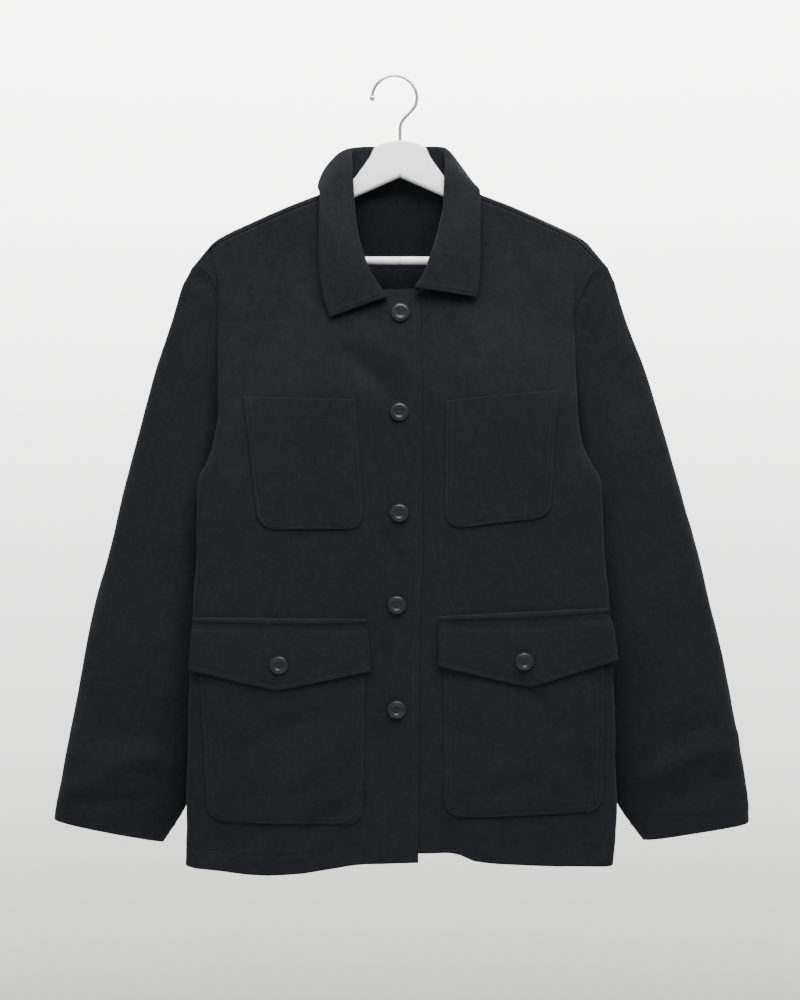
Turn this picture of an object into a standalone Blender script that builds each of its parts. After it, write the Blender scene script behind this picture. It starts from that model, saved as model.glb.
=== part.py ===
"""A field jacket of dark cotton twill, buttoned up and hanging on a wooden hanger.

Lengths below are millimetres, heights are measured down from the inside of the hanger's hook, and
x runs from the wearer's right (negative) to the wearer's left. The front faces -Y. Each piece of
cloth is an outer face worked out from the section rows below and an inner face one wall behind it.
"""

import math
from collections import namedtuple

import bmesh
import bpy
import numpy as np
from mathutils import Matrix, Vector

# --- driving sizes ---------------------------------------------------------------------------
MM = 0.001
CLOTH = 1.5  # wall of one layer with its turnings
DOUBLE_CLOTH = 2.0  # collar, flaps: two layers pressed together
SEAM_GAP = 0.3  # between pieces that are sewn edge to edge
HOOK_OFFSET = 6.0  # the hook's arc stands this far to the wearer's right of the jacket's middle

RIDGE_RADIUS = 10.0  # the cloth's bend over the hanger's top edge
SEAM_DROP = 7.0  # the shoulder seam lies this far below the ridge, on the front
HEM_SIDE = -853.0
UNDERARM = -441.0
FRONT_ARCH = 7.0  # how much the front falls back from its middle to its folded edge
BACK_ARCH = 4.0
FOLD_DEPTH = 8.0  # the fold's rounding, front to back
FOLD_WIDTH = 12.0  # and sideways
FRONT_RAMP = 220.0  # the front reaches its full depth this far below the shoulder
BACK_RAMP = 120.0
UNDERLAP = 2.3  # the lower front lies this far behind the upper one at the button line
UNDERLAP_FROM = 24.0
UNDERLAP_TO = 60.0
UNDER_EDGE = -18.0  # the lower front's edge, past the middle

BUTTON_DIAMETER = 20.0
BUTTON_THICK = 3.6
BUTTON_RIM = 2.4
BUTTON_HOLE = 1.9
BUTTON_HOLE_PITCH = 4.6
BUTTON_DISH = 1.0  # how far the face lies below the rim
BUTTON_STEPS = 16
BUTTON_LIFT = 0.45  # a sewn button stands this far off the cloth
FLAP_BUTTON_LIFT = 0.6

WOOD_THICK = 12.0
WOOD_ROUND = 2.5
BAR_DIAMETER = 9.0
BAR_HEIGHT = -202.0
BAR_HALF = 179.7
HOOK_WIRE = 3.3
HOOK_RADIUS = 24.5
HOOK_BALL = 6.0
HOOK_FROM = -21.0  # the arc starts here, in degrees round from level on the wearer's left
HOOK_TO = 181.5
HOOK_STEPS = 22
HOOK_STEM = [(0.0, -69.3), (0.0, -58.0), (0.6, -53.0), (2.6, -48.2), (5.8, -44.2), (10.0, -40.0),
             (13.8, -35.9)]

# How the panels' grids are laid out. Up a panel, 0 is the hem and 1 the shoulder seam, and these are
# the places of the underarm, the neckline's lower end and, on the back, the shoulders' top edge.
UNDERARM_ROW = 0.5
CORNER_ROW = 0.76
NECK_ROW = 0.78
RIDGE_ROWS = 0.9
# Across, 0 is the free edge or middle seam, 1 the fold and 2 the side seam or armhole.
BODY_ACROSS = np.array([0, 0.114, 0.229, 0.343, 0.457, 0.571, 0.686, 0.8, 0.87, 0.93, 1.0,
                        1.12, 1.3, 1.55, 1.8, 2.0])
FRONT_ROWS = np.concatenate([np.linspace(0, UNDERARM_ROW, 9), np.linspace(UNDERARM_ROW, 1, 13)[1:]])
CLOSER_TO_RIDGE = np.array([0.25, 0.5, 0.72, 0.87, 0.95, 1.0])
BACK_ROWS = np.concatenate([np.linspace(0, UNDERARM_ROW, 8),
                            np.linspace(UNDERARM_ROW, NECK_ROW, 6)[1:],
                            NECK_ROW + (RIDGE_ROWS - NECK_ROW) * CLOSER_TO_RIDGE,
                            np.linspace(RIDGE_ROWS, 1, 4)[1:]])
SLEEVE_DOWN = np.concatenate([[0, 0.03, 0.07], np.linspace(0.125, 1, 12)])  # 1 is the cuff
COLLAR_ALONG = np.linspace(0, 1, 19)  # 0 is the middle of the back, 1 the front end
COLLAR_OVER = np.array([0, 0.35, 0.7, 0.9, 1.0, 1.08, 1.18, 1.3, 1.5, 1.75, 2.0])  # 1 is the roll

SIDES = {"right": -1.0, "left": 1.0}

# --- section rows ----------------------------------------------------------------------------
# The body, a row for each height: where the front folds back on each side, how far the middle of
# the front stands forward, where the side seam lies, and the same for the back.
BodyRow = namedtuple("BodyRow", "z fold_right fold_left front_depth seam_x back_fold back_depth")
BODY = [
    BodyRow(-858, 230.2, 229.8, 55.0, 213, 224, 44),
    BodyRow(-788, 229.1, 233.4, 57.0, 210, 226, 44),
    BodyRow(-740, 228.0, 231.5, 57.5, 205, 226, 44),
    BodyRow(-655, 226.0, 229.8, 58.0, 194, 225, 44),
    BodyRow(-600, 223.8, 225.5, 58.0, 186, 223, 44),
    BodyRow(-530, 219.2, 221.6, 57.0, 176, 220, 44),
    BodyRow(-486, 218.4, 218.6, 56.0, 173, 219, 44),
    BodyRow(-444, 216.6, 215.3, 54.5, 178, 216, 43),
    BodyRow(-426, 207.8, 205.0, 53.5, 178, 211, 43),
    BodyRow(-405, 201.5, 197.5, 52.5, 178, 206, 42),
    BodyRow(-368, 196.3, 192.0, 50.0, 178, 202, 41),
    BodyRow(-303, 197.8, 189.6, 42.0, 178, 200, 38),
    BodyRow(-235, 198.4, 189.5, 31.0, 178, 202, 34),
    BodyRow(-190, 206.8, 192.5, 22.0, 178, 206, 30),
    BodyRow(-120, 228.0, 226.0, 14.0, 178, 228, 20),
]

# The top edge of the shoulders, seen from the front.
RidgeRow = namedtuple("RidgeRow", "x z")
RIDGE = [
    RidgeRow(0, -98),
    RidgeRow(40, -110),
    RidgeRow(80, -126),
    RidgeRow(121, -142),
    RidgeRow(160, -159.5),
    RidgeRow(200, -179.5),
    RidgeRow(212, -190),
    RidgeRow(228, -209),
]

# The armhole, from the end of the shoulder seam down to the underarm.
ARMHOLE_START = 0.035  # share of the front armhole that lies above the shoulder seam
ArmholeRow = namedtuple("ArmholeRow", "x y z")
ARMHOLE_FRONT = [
    ArmholeRow(228.0, 0, -209),
    ArmholeRow(224.5, -7.5, -211.5),
    ArmholeRow(213, -11, -218),
    ArmholeRow(201, -13, -238),
    ArmholeRow(191, -14, -264),
    ArmholeRow(184, -16, -302),
    ArmholeRow(181, -18, -346),
    ArmholeRow(179, -17, -392),
    ArmholeRow(178, -10, -427),
    ArmholeRow(178, 0, -441),
]
ARMHOLE_BACK = [
    ArmholeRow(228.0, 0, -209),
    ArmholeRow(224, 7.5, -212),
    ArmholeRow(214, 11, -220),
    ArmholeRow(204, 15, -242),
    ArmholeRow(196, 18, -272),
    ArmholeRow(189, 20, -312),
    ArmholeRow(184, 20, -352),
    ArmholeRow(181, 18, -394),
    ArmholeRow(179, 10, -428),
    ArmholeRow(178, 0, -441),
]

# Which way the wall's end faces lie along the front armhole; the back's are the same with y turned.
WallRow = namedtuple("WallRow", "share x y z")
ARMHOLE_WALL = [
    WallRow(0.0, -0.40, 0.0, -0.92),
    WallRow(0.06, -0.40, 0.50, -0.75),
    WallRow(0.16, -0.32, 0.94, -0.10),
    WallRow(0.36, -0.42, 0.90, 0.0),
    WallRow(0.60, -0.66, 0.70, 0.10),
    WallRow(0.80, -0.35, 0.70, 0.50),
    WallRow(0.92, -0.15, 0.50, 0.80),
    WallRow(1.0, 0.0, 0.0, 1.0),
]

# The neckline of each front, from its free corner to the shoulder seam, and that of the back.
NeckRow = namedtuple("NeckRow", "x z")
NECKLINE = {
    "right": [NeckRow(-16.2, -245), NeckRow(14, -244), NeckRow(40, -234), NeckRow(62, -208),
              NeckRow(75, -173), NeckRow(80, -145), NeckRow(80.5, -133.2)],
    "left": [NeckRow(-18, -236.5), NeckRow(16, -236), NeckRow(40, -229), NeckRow(62, -206),
             NeckRow(75, -173), NeckRow(80, -145), NeckRow(80.5, -133.2)],
}
BACK_NECKLINE = [NeckRow(0, -133), NeckRow(30, -132.6), NeckRow(58, -130), NeckRow(74, -127.2),
                 NeckRow(80.5, -126.2)]

# The free front edge of the upper front, past the middle.
EdgeRow = namedtuple("EdgeRow", "z x")
FRONT_EDGE = [EdgeRow(-855, -19.2), EdgeRow(-572, -21.4), EdgeRow(-540, -23.5), EdgeRow(-300, -23),
              EdgeRow(-262, -21.6), EdgeRow(-245, -16.2)]

# The hem's height along each front, which hangs in one long shallow wave.
HemRow = namedtuple("HemRow", "x z")
HEM = {
    "right": [HemRow(-20, -853), HemRow(30, -855), HemRow(69, -860.5), HemRow(101, -864.8),
              HemRow(133, -866.4), HemRow(182, -862.6), HemRow(214, -858.4), HemRow(232, -852.5)],
    "left": [HemRow(-20, -843.4), HemRow(46, -843.4), HemRow(59, -845.5), HemRow(74, -851.4),
             HemRow(115, -855.1), HemRow(173, -857.8), HemRow(204, -858.4), HemRow(232, -856.2)],
}

# The sleeves, a row for each ring: its outer end, its inner end, half its depth.
SleeveRow = namedtuple("SleeveRow", "outer_x outer_z inner_x inner_z half_depth")
SLEEVE = {
    "right": [
        SleeveRow(228.0, -209, 178.0, -441, 13),
        SleeveRow(238.7, -234, 184.0, -460, 15),
        SleeveRow(260.7, -300, 186.8, -493, 18),
        SleeveRow(284.9, -388, 190.3, -548, 21),
        SleeveRow(312.4, -498, 197.0, -608, 23),
        SleeveRow(335.5, -586, 206.8, -674, 24),
        SleeveRow(356.4, -696, 220.0, -740, 22),
        SleeveRow(371.3, -773, 234.3, -794, 19),
        SleeveRow(378.7, -816, 261.8, -840, 15),
    ],
    "left": [
        SleeveRow(228.0, -209, 178.0, -441, 13),
        SleeveRow(236.5, -234, 184.0, -460, 15),
        SleeveRow(259.6, -300, 186.5, -493, 18),
        SleeveRow(288.2, -388, 189.0, -548, 21),
        SleeveRow(319.0, -498, 196.0, -608, 23),
        SleeveRow(341.5, -586, 207.0, -674, 24),
        SleeveRow(365.2, -696, 222.0, -740, 22),
        SleeveRow(378.4, -773, 239.0, -794, 19),
        SleeveRow(382.8, -819, 269.0, -838, 15),
    ],
}
PATCH_LIFT = 0.5  # a patch pocket's least distance from the front
EVEN_RINGS_FROM = 0.3
SLEEVE_EGG = 0.18  # the sleeve is this share fatter outside than inside
SLEEVE_SQUARE = 2.3  # power of the superellipse that its rings follow

# The collar, a row for each place from the middle of the back to the front end: the seam at the
# neckline, the roll line, and the outer edge that lies on the shoulders.
CollarRow = namedtuple("CollarRow", "seam roll edge")
COLLAR = [
    CollarRow((0, 19.5, -132.6), (0, 30, -79), (0, 33, -143)),
    CollarRow((30, 19, -132.2), (27, 28, -78.5), (40, 32, -142)),
    CollarRow((58, 14, -129.4), (44, 20, -82), (71, 26, -138.5)),
    CollarRow((76, 5, -124.6), (50, 8, -91), (85, 9, -129)),
    CollarRow((80, -8.6, -129.3), (51, -9.4, -107), (87, -8, -127)),
    CollarRow((79, -13, -150), (50, -17.5, -140), (87.5, -20, -149)),
    CollarRow((74, -17, -177), (45, -25, -172), (87.5, -25, -177)),
    CollarRow((62, -21, -206), (36, -31, -200), (87, -27.5, -206)),
    CollarRow((40, -26, -231), (25, -34, -223), (85, -30, -236)),
    CollarRow((17, -29.5, -241.5), (15.5, -35, -238), (75.4, -34, -268)),
]
LEFT_TIP = (82.3, -33, -246)  # the wearer's left point sits higher
LEFT_BEFORE_TIP = (86, -30, -227)
COLLAR_LIFT = 0.8  # the least air between the collar and what it lies on

# Patch pockets by their corners, and the flaps by their edges.
Corner = namedtuple("Corner", "x z")
PocketSize = namedtuple("PocketSize", "top_in top_out low_out low_in round_by crown")
CHEST_POCKET = {
    "right": PocketSize(Corner(47.1, -358.2), Corner(168.8, -355), Corner(151, -496.4),
                        Corner(38.5, -496.4), 17, 0.8),
    "left": PocketSize(Corner(49.3, -359.3), Corner(170, -347.5), Corner(161, -485.2),
                       Corner(47.5, -494.8), 17, 0.8),
}
LOWER_POCKET = {
    "right": PocketSize(Corner(36.5, -612), Corner(216, -612), Corner(206, -809.4),
                        Corner(39.5, -812), 18, 2.5),
    "left": PocketSize(Corner(46.5, -612), Corner(219, -608), Corner(217, -800),
                       Corner(47, -804), 18, 2.5),
}
FlapSize = namedtuple("FlapSize", "top_in top_out low_in low_out point")
FLAP = {
    "right": FlapSize(Corner(36.2, -591.5), Corner(220.7, -590.5), Corner(31.1, -647.2),
                      Corner(222.9, -647), Corner(130.8, -668.4)),
    "left": FlapSize(Corner(42.5, -588.7), Corner(221.2, -580.2), Corner(41.8, -642),
                     Corner(228.5, -637), Corner(137.2, -665.2)),
}
# Down the flap: how far its underside stands off the panel, the first rows making the tuck.
FlapRow = namedtuple("FlapRow", "down lift")
FLAP_ROWS = [FlapRow(0.0, 0.4), FlapRow(0.03, 2.2), FlapRow(0.07, 2.4), FlapRow(0.11, 0.9),
             FlapRow(0.2, 0.8), FlapRow(0.3, 2.4), FlapRow(0.6, 4.2), FlapRow(1.0, 4.9)]

ButtonPlace = namedtuple("ButtonPlace", "x z")
FRONT_BUTTONS = [ButtonPlace(0.4, -262.9), ButtonPlace(-0.6, -370.7), ButtonPlace(-0.6, -478.9),
                 ButtonPlace(-3.2, -577), ButtonPlace(-3.4, -688.5)]
FLAP_BUTTONS = {"right": ButtonPlace(128.3, -640.6), "left": ButtonPlace(131.8, -636.9)}

# The wooden hanger's outline, from the middle of its top to the middle of its underside.
WoodRow = namedtuple("WoodRow", "x z")
WOOD = [
    WoodRow(0, -70), WoodRow(12, -71.5), WoodRow(21, -74.5), WoodRow(28.5, -78.8),
    WoodRow(33, -88), WoodRow(38, -95.5), WoodRow(43.5, -103), WoodRow(50, -111.5),
    WoodRow(64, -122.9), WoodRow(80, -129.6), WoodRow(121, -145.6), WoodRow(160, -163),
    WoodRow(192, -179.2), WoodRow(199, -184), WoodRow(202, -190), WoodRow(202, -203),
    WoodRow(198, -209), WoodRow(185, -209), WoodRow(180, -205), WoodRow(180, -196),
    WoodRow(168, -184.5),
]
WOOD_APEX = -110.0

# --- finishes: base colour, roughness, metallic ------------------------------------------------
FINISHES = {
    "twill": ((0.020, 0.022, 0.026), 0.92, 0.0),
    "button": ((0.035, 0.036, 0.040), 0.38, 0.0),
    "white_paint": ((0.86, 0.86, 0.84), 0.35, 0.0),
    "chrome": ((0.80, 0.80, 0.82), 0.12, 1.0),
}


# --- tools -------------------------------------------------------------------------------------
def smooth_value(at, places, values):
    """A smooth curve through the values at rising places, read where asked (cubic, no overshoot)."""
    places = np.asarray(places, float)
    values = np.asarray(values, float)
    at = np.clip(np.asarray(at, float), places[0], places[-1])
    steps = np.diff(places)
    slopes = np.diff(values) / steps
    tangents = np.zeros(len(places))
    tangents[0], tangents[-1] = slopes[0], slopes[-1]
    same_way = slopes[:-1] * slopes[1:] > 0
    mean = 2 * slopes[:-1] * slopes[1:] / np.where(same_way, slopes[:-1] + slopes[1:], 1.0)
    tangents[1:-1] = np.where(same_way, mean, 0.0)
    i = np.clip(np.searchsorted(places, at, side="right") - 1, 0, len(steps) - 1)
    s = (at - places[i]) / steps[i]
    return (
        values[i] * (1 + 2 * s) * (1 - s) ** 2
        + values[i + 1] * s * s * (3 - 2 * s)
        + steps[i] * s * (1 - s) * (tangents[i] * (1 - s) - tangents[i + 1] * s)
    )


def column(rows, name):
    """One named column of a table."""
    return [getattr(row, name) for row in rows]


def read_table(rows, by, name, at):
    """A table's column as a smooth function of another of its columns."""
    return smooth_value(at, column(rows, by), column(rows, name))


def ease(value, start, end):
    """0 before start, 1 after end, smooth between."""
    s = np.clip((np.asarray(value, float) - start) / (end - start), 0.0, 1.0)
    return s * s * (3 - 2 * s)


def bezier(p0, p1, p2, p3, s):
    """A cubic curve's points; the last axis of each control point is x, y, z."""
    s = np.asarray(s, float)[..., None]
    return (1 - s) ** 3 * p0 + 3 * s * (1 - s) ** 2 * p1 + 3 * s * s * (1 - s) * p2 + s**3 * p3


def along_path(points, share):
    """Points at the given shares of a smooth path's length."""
    points = np.asarray(points, float)
    lengths = np.concatenate([[0], np.cumsum(np.linalg.norm(np.diff(points, axis=0), axis=1))])
    return np.stack([smooth_value(np.asarray(share) * lengths[-1], lengths, points[:, k])
                     for k in range(points.shape[1])], axis=-1)


# --- the body's form ---------------------------------------------------------------------------
def ridge_height(x):
    return read_table(RIDGE, "x", "z", np.abs(x))


def fold_strength(z):
    """The front's edge is a crease at the shoulder and a full fold from the upper chest down."""
    return 1 - ease(z, -300.0, -215.0)


def below_ridge(depth, x, z, ramp):
    """A panel's depth, brought in to the round of the hanger's edge near the shoulder."""
    down = ridge_height(x) - z
    over_edge = RIDGE_RADIUS * np.sqrt(
        np.clip(1 - (1 - np.clip(down, 0, RIDGE_RADIUS) / RIDGE_RADIUS) ** 2, 0, 1))
    reached = np.sin(np.pi / 2 * np.clip((down - RIDGE_RADIUS) / ramp, 0, 1))
    return over_edge + (depth - RIDGE_RADIUS) * reached


def panel_depth(x, z, fold, middle, arch, ramp):
    """How far a panel stands from the hanger's plane, at |x| up to its folded edge."""
    x = np.minimum(np.abs(x), fold)
    into_fold = np.clip((x - fold + FOLD_WIDTH) / FOLD_WIDTH, 0, 1)
    rounding = FOLD_DEPTH * fold_strength(z) * (1 - np.sqrt(1 - into_fold**2))
    return below_ridge(middle - arch * (x / fold) ** 2 - rounding, x, z, ramp)


def front_fold(z, side):
    return read_table(BODY, "z", "fold_" + side, z)


def front_depth(x, z, side):
    """Depth of the front at x measured out from the middle; negative x is past the middle."""
    middle = read_table(BODY, "z", "front_depth", z)
    depth = panel_depth(x, z, front_fold(z, side), middle, FRONT_ARCH, FRONT_RAMP)
    if side == "left":
        depth = depth - UNDERLAP * (1 - ease(x, UNDERLAP_FROM, UNDERLAP_TO))
    return depth


def back_depth(x, z):
    middle = read_table(BODY, "z", "back_depth", z)
    fold = read_table(BODY, "z", "back_fold", z)
    return panel_depth(x, z, fold, middle, BACK_ARCH, BACK_RAMP)


def front_point(x, z, side, lift=0.0):
    """Points on the front, moved out from it by lift along its own normal."""
    x, z = np.broadcast_arrays(np.asarray(x, float), np.asarray(z, float))
    step = 0.4
    depth = front_depth(x, z, side)
    slope_x = (depth - front_depth(x - step, z, side)) / step
    slope_z = (front_depth(x, z + step, side) - front_depth(x, z - step, side)) / (2 * step)
    normal = np.stack([-slope_x, -np.ones_like(x), -slope_z], axis=-1)
    normal = normal / np.linalg.norm(normal, axis=-1, keepdims=True)
    points = np.stack([x, -depth, z], axis=-1) + normal * np.asarray(lift)[..., None]
    points[..., 0] *= SIDES[side]
    return points


def to_fold(place):
    """Shares of the way to the fold, closer together round its tip."""
    place = np.asarray(place, float)
    return np.clip(place / 0.8, 0, 1), np.sin(np.pi / 2 * np.clip((place - 0.8) / 0.2, 0, 1))


def across_panel(start, fold_x, place):
    """x from a row's start to its fold."""
    straight, tip = to_fold(place)
    return start + (fold_x - FOLD_WIDTH - start) * straight + FOLD_WIDTH * tip


def folded_back(tip, seam, strength, place):
    """The cloth behind the fold, from the fold's tip to the seam."""
    place = np.asarray(place, float)
    reach = seam - tip
    deep = np.abs(reach[..., 1:2])
    out = np.sign(reach[..., 1:2])
    ahead = np.concatenate([np.zeros_like(out), out, np.zeros_like(out)], axis=-1)
    inward = np.concatenate([-np.ones_like(out), np.zeros_like(out), np.zeros_like(out)], axis=-1)
    k = np.asarray(strength, float)[..., None]
    first = (tip + reach / 3) * (1 - k) + k * (tip + ahead * 0.3 * deep + reach * [0, 0, 0.33])
    tucked = seam - ahead * 0.75 * deep + inward * 0.24 * deep - reach * [0, 0, 0.33]
    second = (tip + 2 * reach / 3) * (1 - k) + k * tucked
    return bezier(tip, first, second, seam, place)


def armhole(rows, share):
    """Points down the armhole: 0 at the shoulder's end, 1 at the underarm."""
    return along_path([(row.x, row.y, row.z) for row in rows], share)


def front_share(up):
    """Share down the armhole of the front's rows."""
    return 1 - np.clip((up - UNDERARM_ROW) / (1 - UNDERARM_ROW), 0, 1) * (1 - ARMHOLE_START)


def back_share(up):
    """The same for the back's rows up to the shoulders' top edge."""
    return 1 - np.clip((up - UNDERARM_ROW) / (RIDGE_ROWS - UNDERARM_ROW), 0, 1)


def front_grid(side, across, up):
    """The front as a grid: across is 0 to 1 up to the fold and on to 2 at the seam, up is 0 at the
    hem, half way at the underarm and 1 at the shoulder seam."""
    up, across = np.meshgrid(up, across, indexing="ij")
    neck = NECKLINE[side]
    corner = neck[0]
    low = np.clip(up / UNDERARM_ROW, 0, 1)
    middle = np.clip((up - UNDERARM_ROW) / (CORNER_ROW - UNDERARM_ROW), 0, 1)
    top = np.clip((up - CORNER_ROW) / (1 - CORNER_ROW), 0, 1)

    start_z = UNDERARM + (corner.z - UNDERARM) * middle
    start_x = (read_table(FRONT_EDGE, "z", "x", start_z) if side == "right"
               else np.full_like(start_z, UNDER_EDGE))
    on_neck = along_path([(row.x, row.z) for row in neck], top)
    start_x = np.where(top > 0, on_neck[..., 0], start_x)
    start_z = np.where(top > 0, on_neck[..., 1], start_z)

    seam = armhole(ARMHOLE_FRONT, front_share(up))

    shoulder = ease(up, UNDERARM_ROW, 1.0)
    fold_z = start_z + (seam[..., 2] - start_z) * 0.8
    fold_x = front_fold(fold_z, side)
    on_seam_line = ridge_height(fold_x) - SEAM_DROP
    fold_z = fold_z + (on_seam_line - fold_z) * shoulder**3
    fold_x = front_fold(fold_z, side)
    x = across_panel(start_x, fold_x, np.clip(across, 0, 1))
    share = (x - start_x) / (fold_x - start_x)
    ridge_share = ((ridge_height(x) - ridge_height(start_x))
                   / (ridge_height(fold_x) - ridge_height(start_x)))
    drop = share**1.3 + (ridge_share - share**1.3) * shoulder
    z = start_z + (fold_z - start_z) * np.where(up > UNDERARM_ROW, drop, 0.0)

    # Below the underarm the rows spread from there down to the hem.
    hem = read_table(HEM[side], "x", "z", x)
    hem = np.where(across > 1, hem + (HEM_SIDE - hem) * (across - 1), hem)
    below = UNDERARM + (hem - UNDERARM) * (1 - low)
    if side == "right":
        edge = read_table(FRONT_EDGE, "z", "x", below)
        x_below = across_panel(edge, front_fold(below, side), np.clip(across, 0, 1))
    else:
        x_below = across_panel(start_x, front_fold(below, side), np.clip(across, 0, 1))
    is_low = up <= UNDERARM_ROW
    x = np.where(is_low, x_below, x)
    z = np.where(is_low, below, z)
    points = np.stack([x, -front_depth(x, z, side), z], axis=-1)

    # Behind the fold, to the side seam or the armhole.
    side_seam = np.stack([read_table(BODY, "z", "seam_x", z), np.zeros_like(z), z], axis=-1)
    seam = np.where(is_low[..., None], side_seam, seam)
    strength = np.where(is_low, 1.0, fold_strength(fold_z))
    behind = folded_back(points, seam, strength, np.clip(across - 1, 0, 1))
    points = np.where((across > 1)[..., None], behind, points)
    points[..., 0] *= SIDES[side]
    return points


def back_grid(side, across, up):
    """One half of the back, laid out as the front is; its last rows pass over the ridge."""
    up, across = np.meshgrid(up, across, indexing="ij")
    low = np.clip(up / UNDERARM_ROW, 0, 1)
    middle = np.clip((up - UNDERARM_ROW) / (NECK_ROW - UNDERARM_ROW), 0, 1)
    top = np.clip((up - NECK_ROW) / (RIDGE_ROWS - NECK_ROW), 0, 1)
    over = np.clip((up - RIDGE_ROWS) / (1 - RIDGE_ROWS), 0, 1)

    on_neck = along_path([(row.x, row.z) for row in BACK_NECKLINE], top)
    start_x = np.where(top > 0, on_neck[..., 0], 0.5 * SEAM_GAP)
    start_z = np.where(top > 0, on_neck[..., 1],
                       UNDERARM + (BACK_NECKLINE[0].z - UNDERARM) * middle)
    seam = armhole(ARMHOLE_BACK, back_share(up))

    shoulder = ease(up, UNDERARM_ROW, RIDGE_ROWS)
    fold_z = start_z + (seam[..., 2] - start_z) * 0.8
    fold_x = read_table(BODY, "z", "back_fold", fold_z)
    fold_z = fold_z + (ridge_height(fold_x) - fold_z) * shoulder**3
    fold_x = read_table(BODY, "z", "back_fold", fold_z)
    x = across_panel(start_x, fold_x, np.clip(across, 0, 1))
    share = (x - start_x) / (fold_x - start_x)
    ridge_share = ((ridge_height(x) - ridge_height(start_x))
                   / (ridge_height(fold_x) - ridge_height(start_x)))
    drop = share**1.3 + (ridge_share - share**1.3) * shoulder
    is_low = up <= UNDERARM_ROW
    below = UNDERARM + (HEM_SIDE - UNDERARM) * (1 - low)
    x_below = across_panel(0.5 * SEAM_GAP, read_table(BODY, "z", "back_fold", below),
                           np.clip(across, 0, 1))
    z = np.where(is_low, below, start_z + (fold_z - start_z) * drop)
    x = np.where(is_low, x_below, x)
    points = np.stack([x, back_depth(x, z), z], axis=-1)

    side_seam = np.stack([read_table(BODY, "z", "seam_x", z), np.full_like(z, SEAM_GAP), z], axis=-1)
    seam = np.where(is_low[..., None], side_seam, seam)
    strength = np.where(is_low, 1.0, fold_strength(fold_z))
    behind = folded_back(points, seam, strength, np.clip(across - 1, 0, 1))
    points = np.where((across > 1)[..., None], behind, points)

    # Over the ridge, from its top to a seam's gap above the front's shoulder edge.
    seam_row = shoulder_row(side, across[0])
    to_seam = seam_row + SEAM_GAP * round_ridge(seam_row)
    turn = np.pi / 2 * over
    x_over = points[..., 0] + (to_seam[..., 0] - points[..., 0]) * over
    ridge_z = np.where(across > 1, points[..., 2], ridge_height(points[..., 0]))
    ridge = np.stack([x_over, to_seam[..., 1] * np.sin(turn),
                      ridge_z + (to_seam[..., 2] - ridge_z) * (1 - np.cos(turn))], axis=-1)
    points = np.where((over > 0)[..., None], ridge, points)
    points[..., 0] *= SIDES[side]
    return points


def shoulder_row(side, across):
    """The front's edge at the shoulder seam, on the positive side."""
    row = front_grid(side, across, np.array([1.0]))[0]
    row[..., 0] *= SIDES[side]
    return row


def from_ridge_axis(points):
    """The level-in-x direction out from the middle of the bend over the hanger's edge."""
    out = points * [0, 1, 1]
    out[..., 2] -= ridge_height(points[..., 0]) - RIDGE_RADIUS
    return out / np.linalg.norm(out, axis=-1, keepdims=True)


def round_ridge(points):
    """The direction up and back round the bend, at points on its front."""
    out = from_ridge_axis(points)
    return np.stack([np.zeros_like(out[..., 0]), out[..., 2], -out[..., 1]], axis=-1)


def armhole_wall(share, back):
    """The direction from the outer to the inner face at the armhole's edge."""
    wall = np.stack([read_table(ARMHOLE_WALL, "share", name, share) for name in "xyz"], axis=-1)
    if back:
        wall = wall * [1, -1, 1]
    return wall / np.linalg.norm(wall, axis=-1, keepdims=True)


def shoulder_wall(side, across):
    """The same at the shoulder seam, turning to the armhole's at its outer end."""
    inward = -from_ridge_axis(shoulder_row(side, across))
    at_end = armhole_wall(np.full_like(across, ARMHOLE_START), back=False)
    wall = inward + (at_end - inward) * ease(across, 1, 2)[:, None]
    return wall / np.linalg.norm(wall, axis=-1, keepdims=True)


# --- the sleeves' form -------------------------------------------------------------------------
def sleeve_grid(side, around, down):
    """A sleeve as rings: around is 1/2 at the inner edge, where its seam lies, 3/4 behind, 1 at the
    outer edge, 5/4 in front and 3/2 back at the seam. The places given are those at the armhole;
    further down the rings are evenly spaced."""
    rows = SLEEVE[side]
    even = np.linspace(around[0], around[-1], len(around))
    down, around = np.meshgrid(down, around, indexing="ij")
    around = around + (even - around) * ease(down, 0.0, EVEN_RINGS_FROM)
    place = np.linspace(0, 1, len(rows))
    ring = {name: smooth_value(down, place, column(rows, name)) for name in rows[0]._fields}
    angle = 2 * np.pi * around
    cosine, sine = np.cos(angle), np.sin(angle)
    power = 2 / SLEEVE_SQUARE
    lengthwise = np.sign(cosine) * np.abs(cosine) ** power
    depthwise = -np.sign(sine) * np.abs(sine) ** power
    outer = np.stack([ring["outer_x"], np.zeros_like(down), ring["outer_z"]], axis=-1)
    inner = np.stack([ring["inner_x"], np.zeros_like(down), ring["inner_z"]], axis=-1)
    points = (outer + inner) / 2 + (outer - inner) / 2 * lengthwise[..., None]
    points[..., 1] += ring["half_depth"] * (1 + SLEEVE_EGG * lengthwise) * depthwise
    # The first rings follow the armhole and leave it a seam's gap.
    around = around % 1.0
    share, back = 1 - np.abs(1 - 2 * around), around > 0.5
    first = np.where(back[..., None], armhole(ARMHOLE_BACK, share), armhole(ARMHOLE_FRONT, share))
    first = first + SEAM_GAP * off_armhole(around)
    start = sleeve_start(side, around)
    fade = (1 - np.clip(down / 0.22, 0, 1)) ** 2
    points = points + (first - start) * fade[..., None]
    points[:, 0, 1] += SEAM_GAP / 2
    points[:, -1, 1] -= SEAM_GAP / 2
    points[..., 0] *= SIDES[side]
    return points


def ring_wall(around):
    """The wall's direction at each place round the armhole."""
    share, back = 1 - np.abs(1 - 2 * around), around > 0.5
    return np.where(back[..., None], armhole_wall(share, back=True), armhole_wall(share, back=False))


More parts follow.
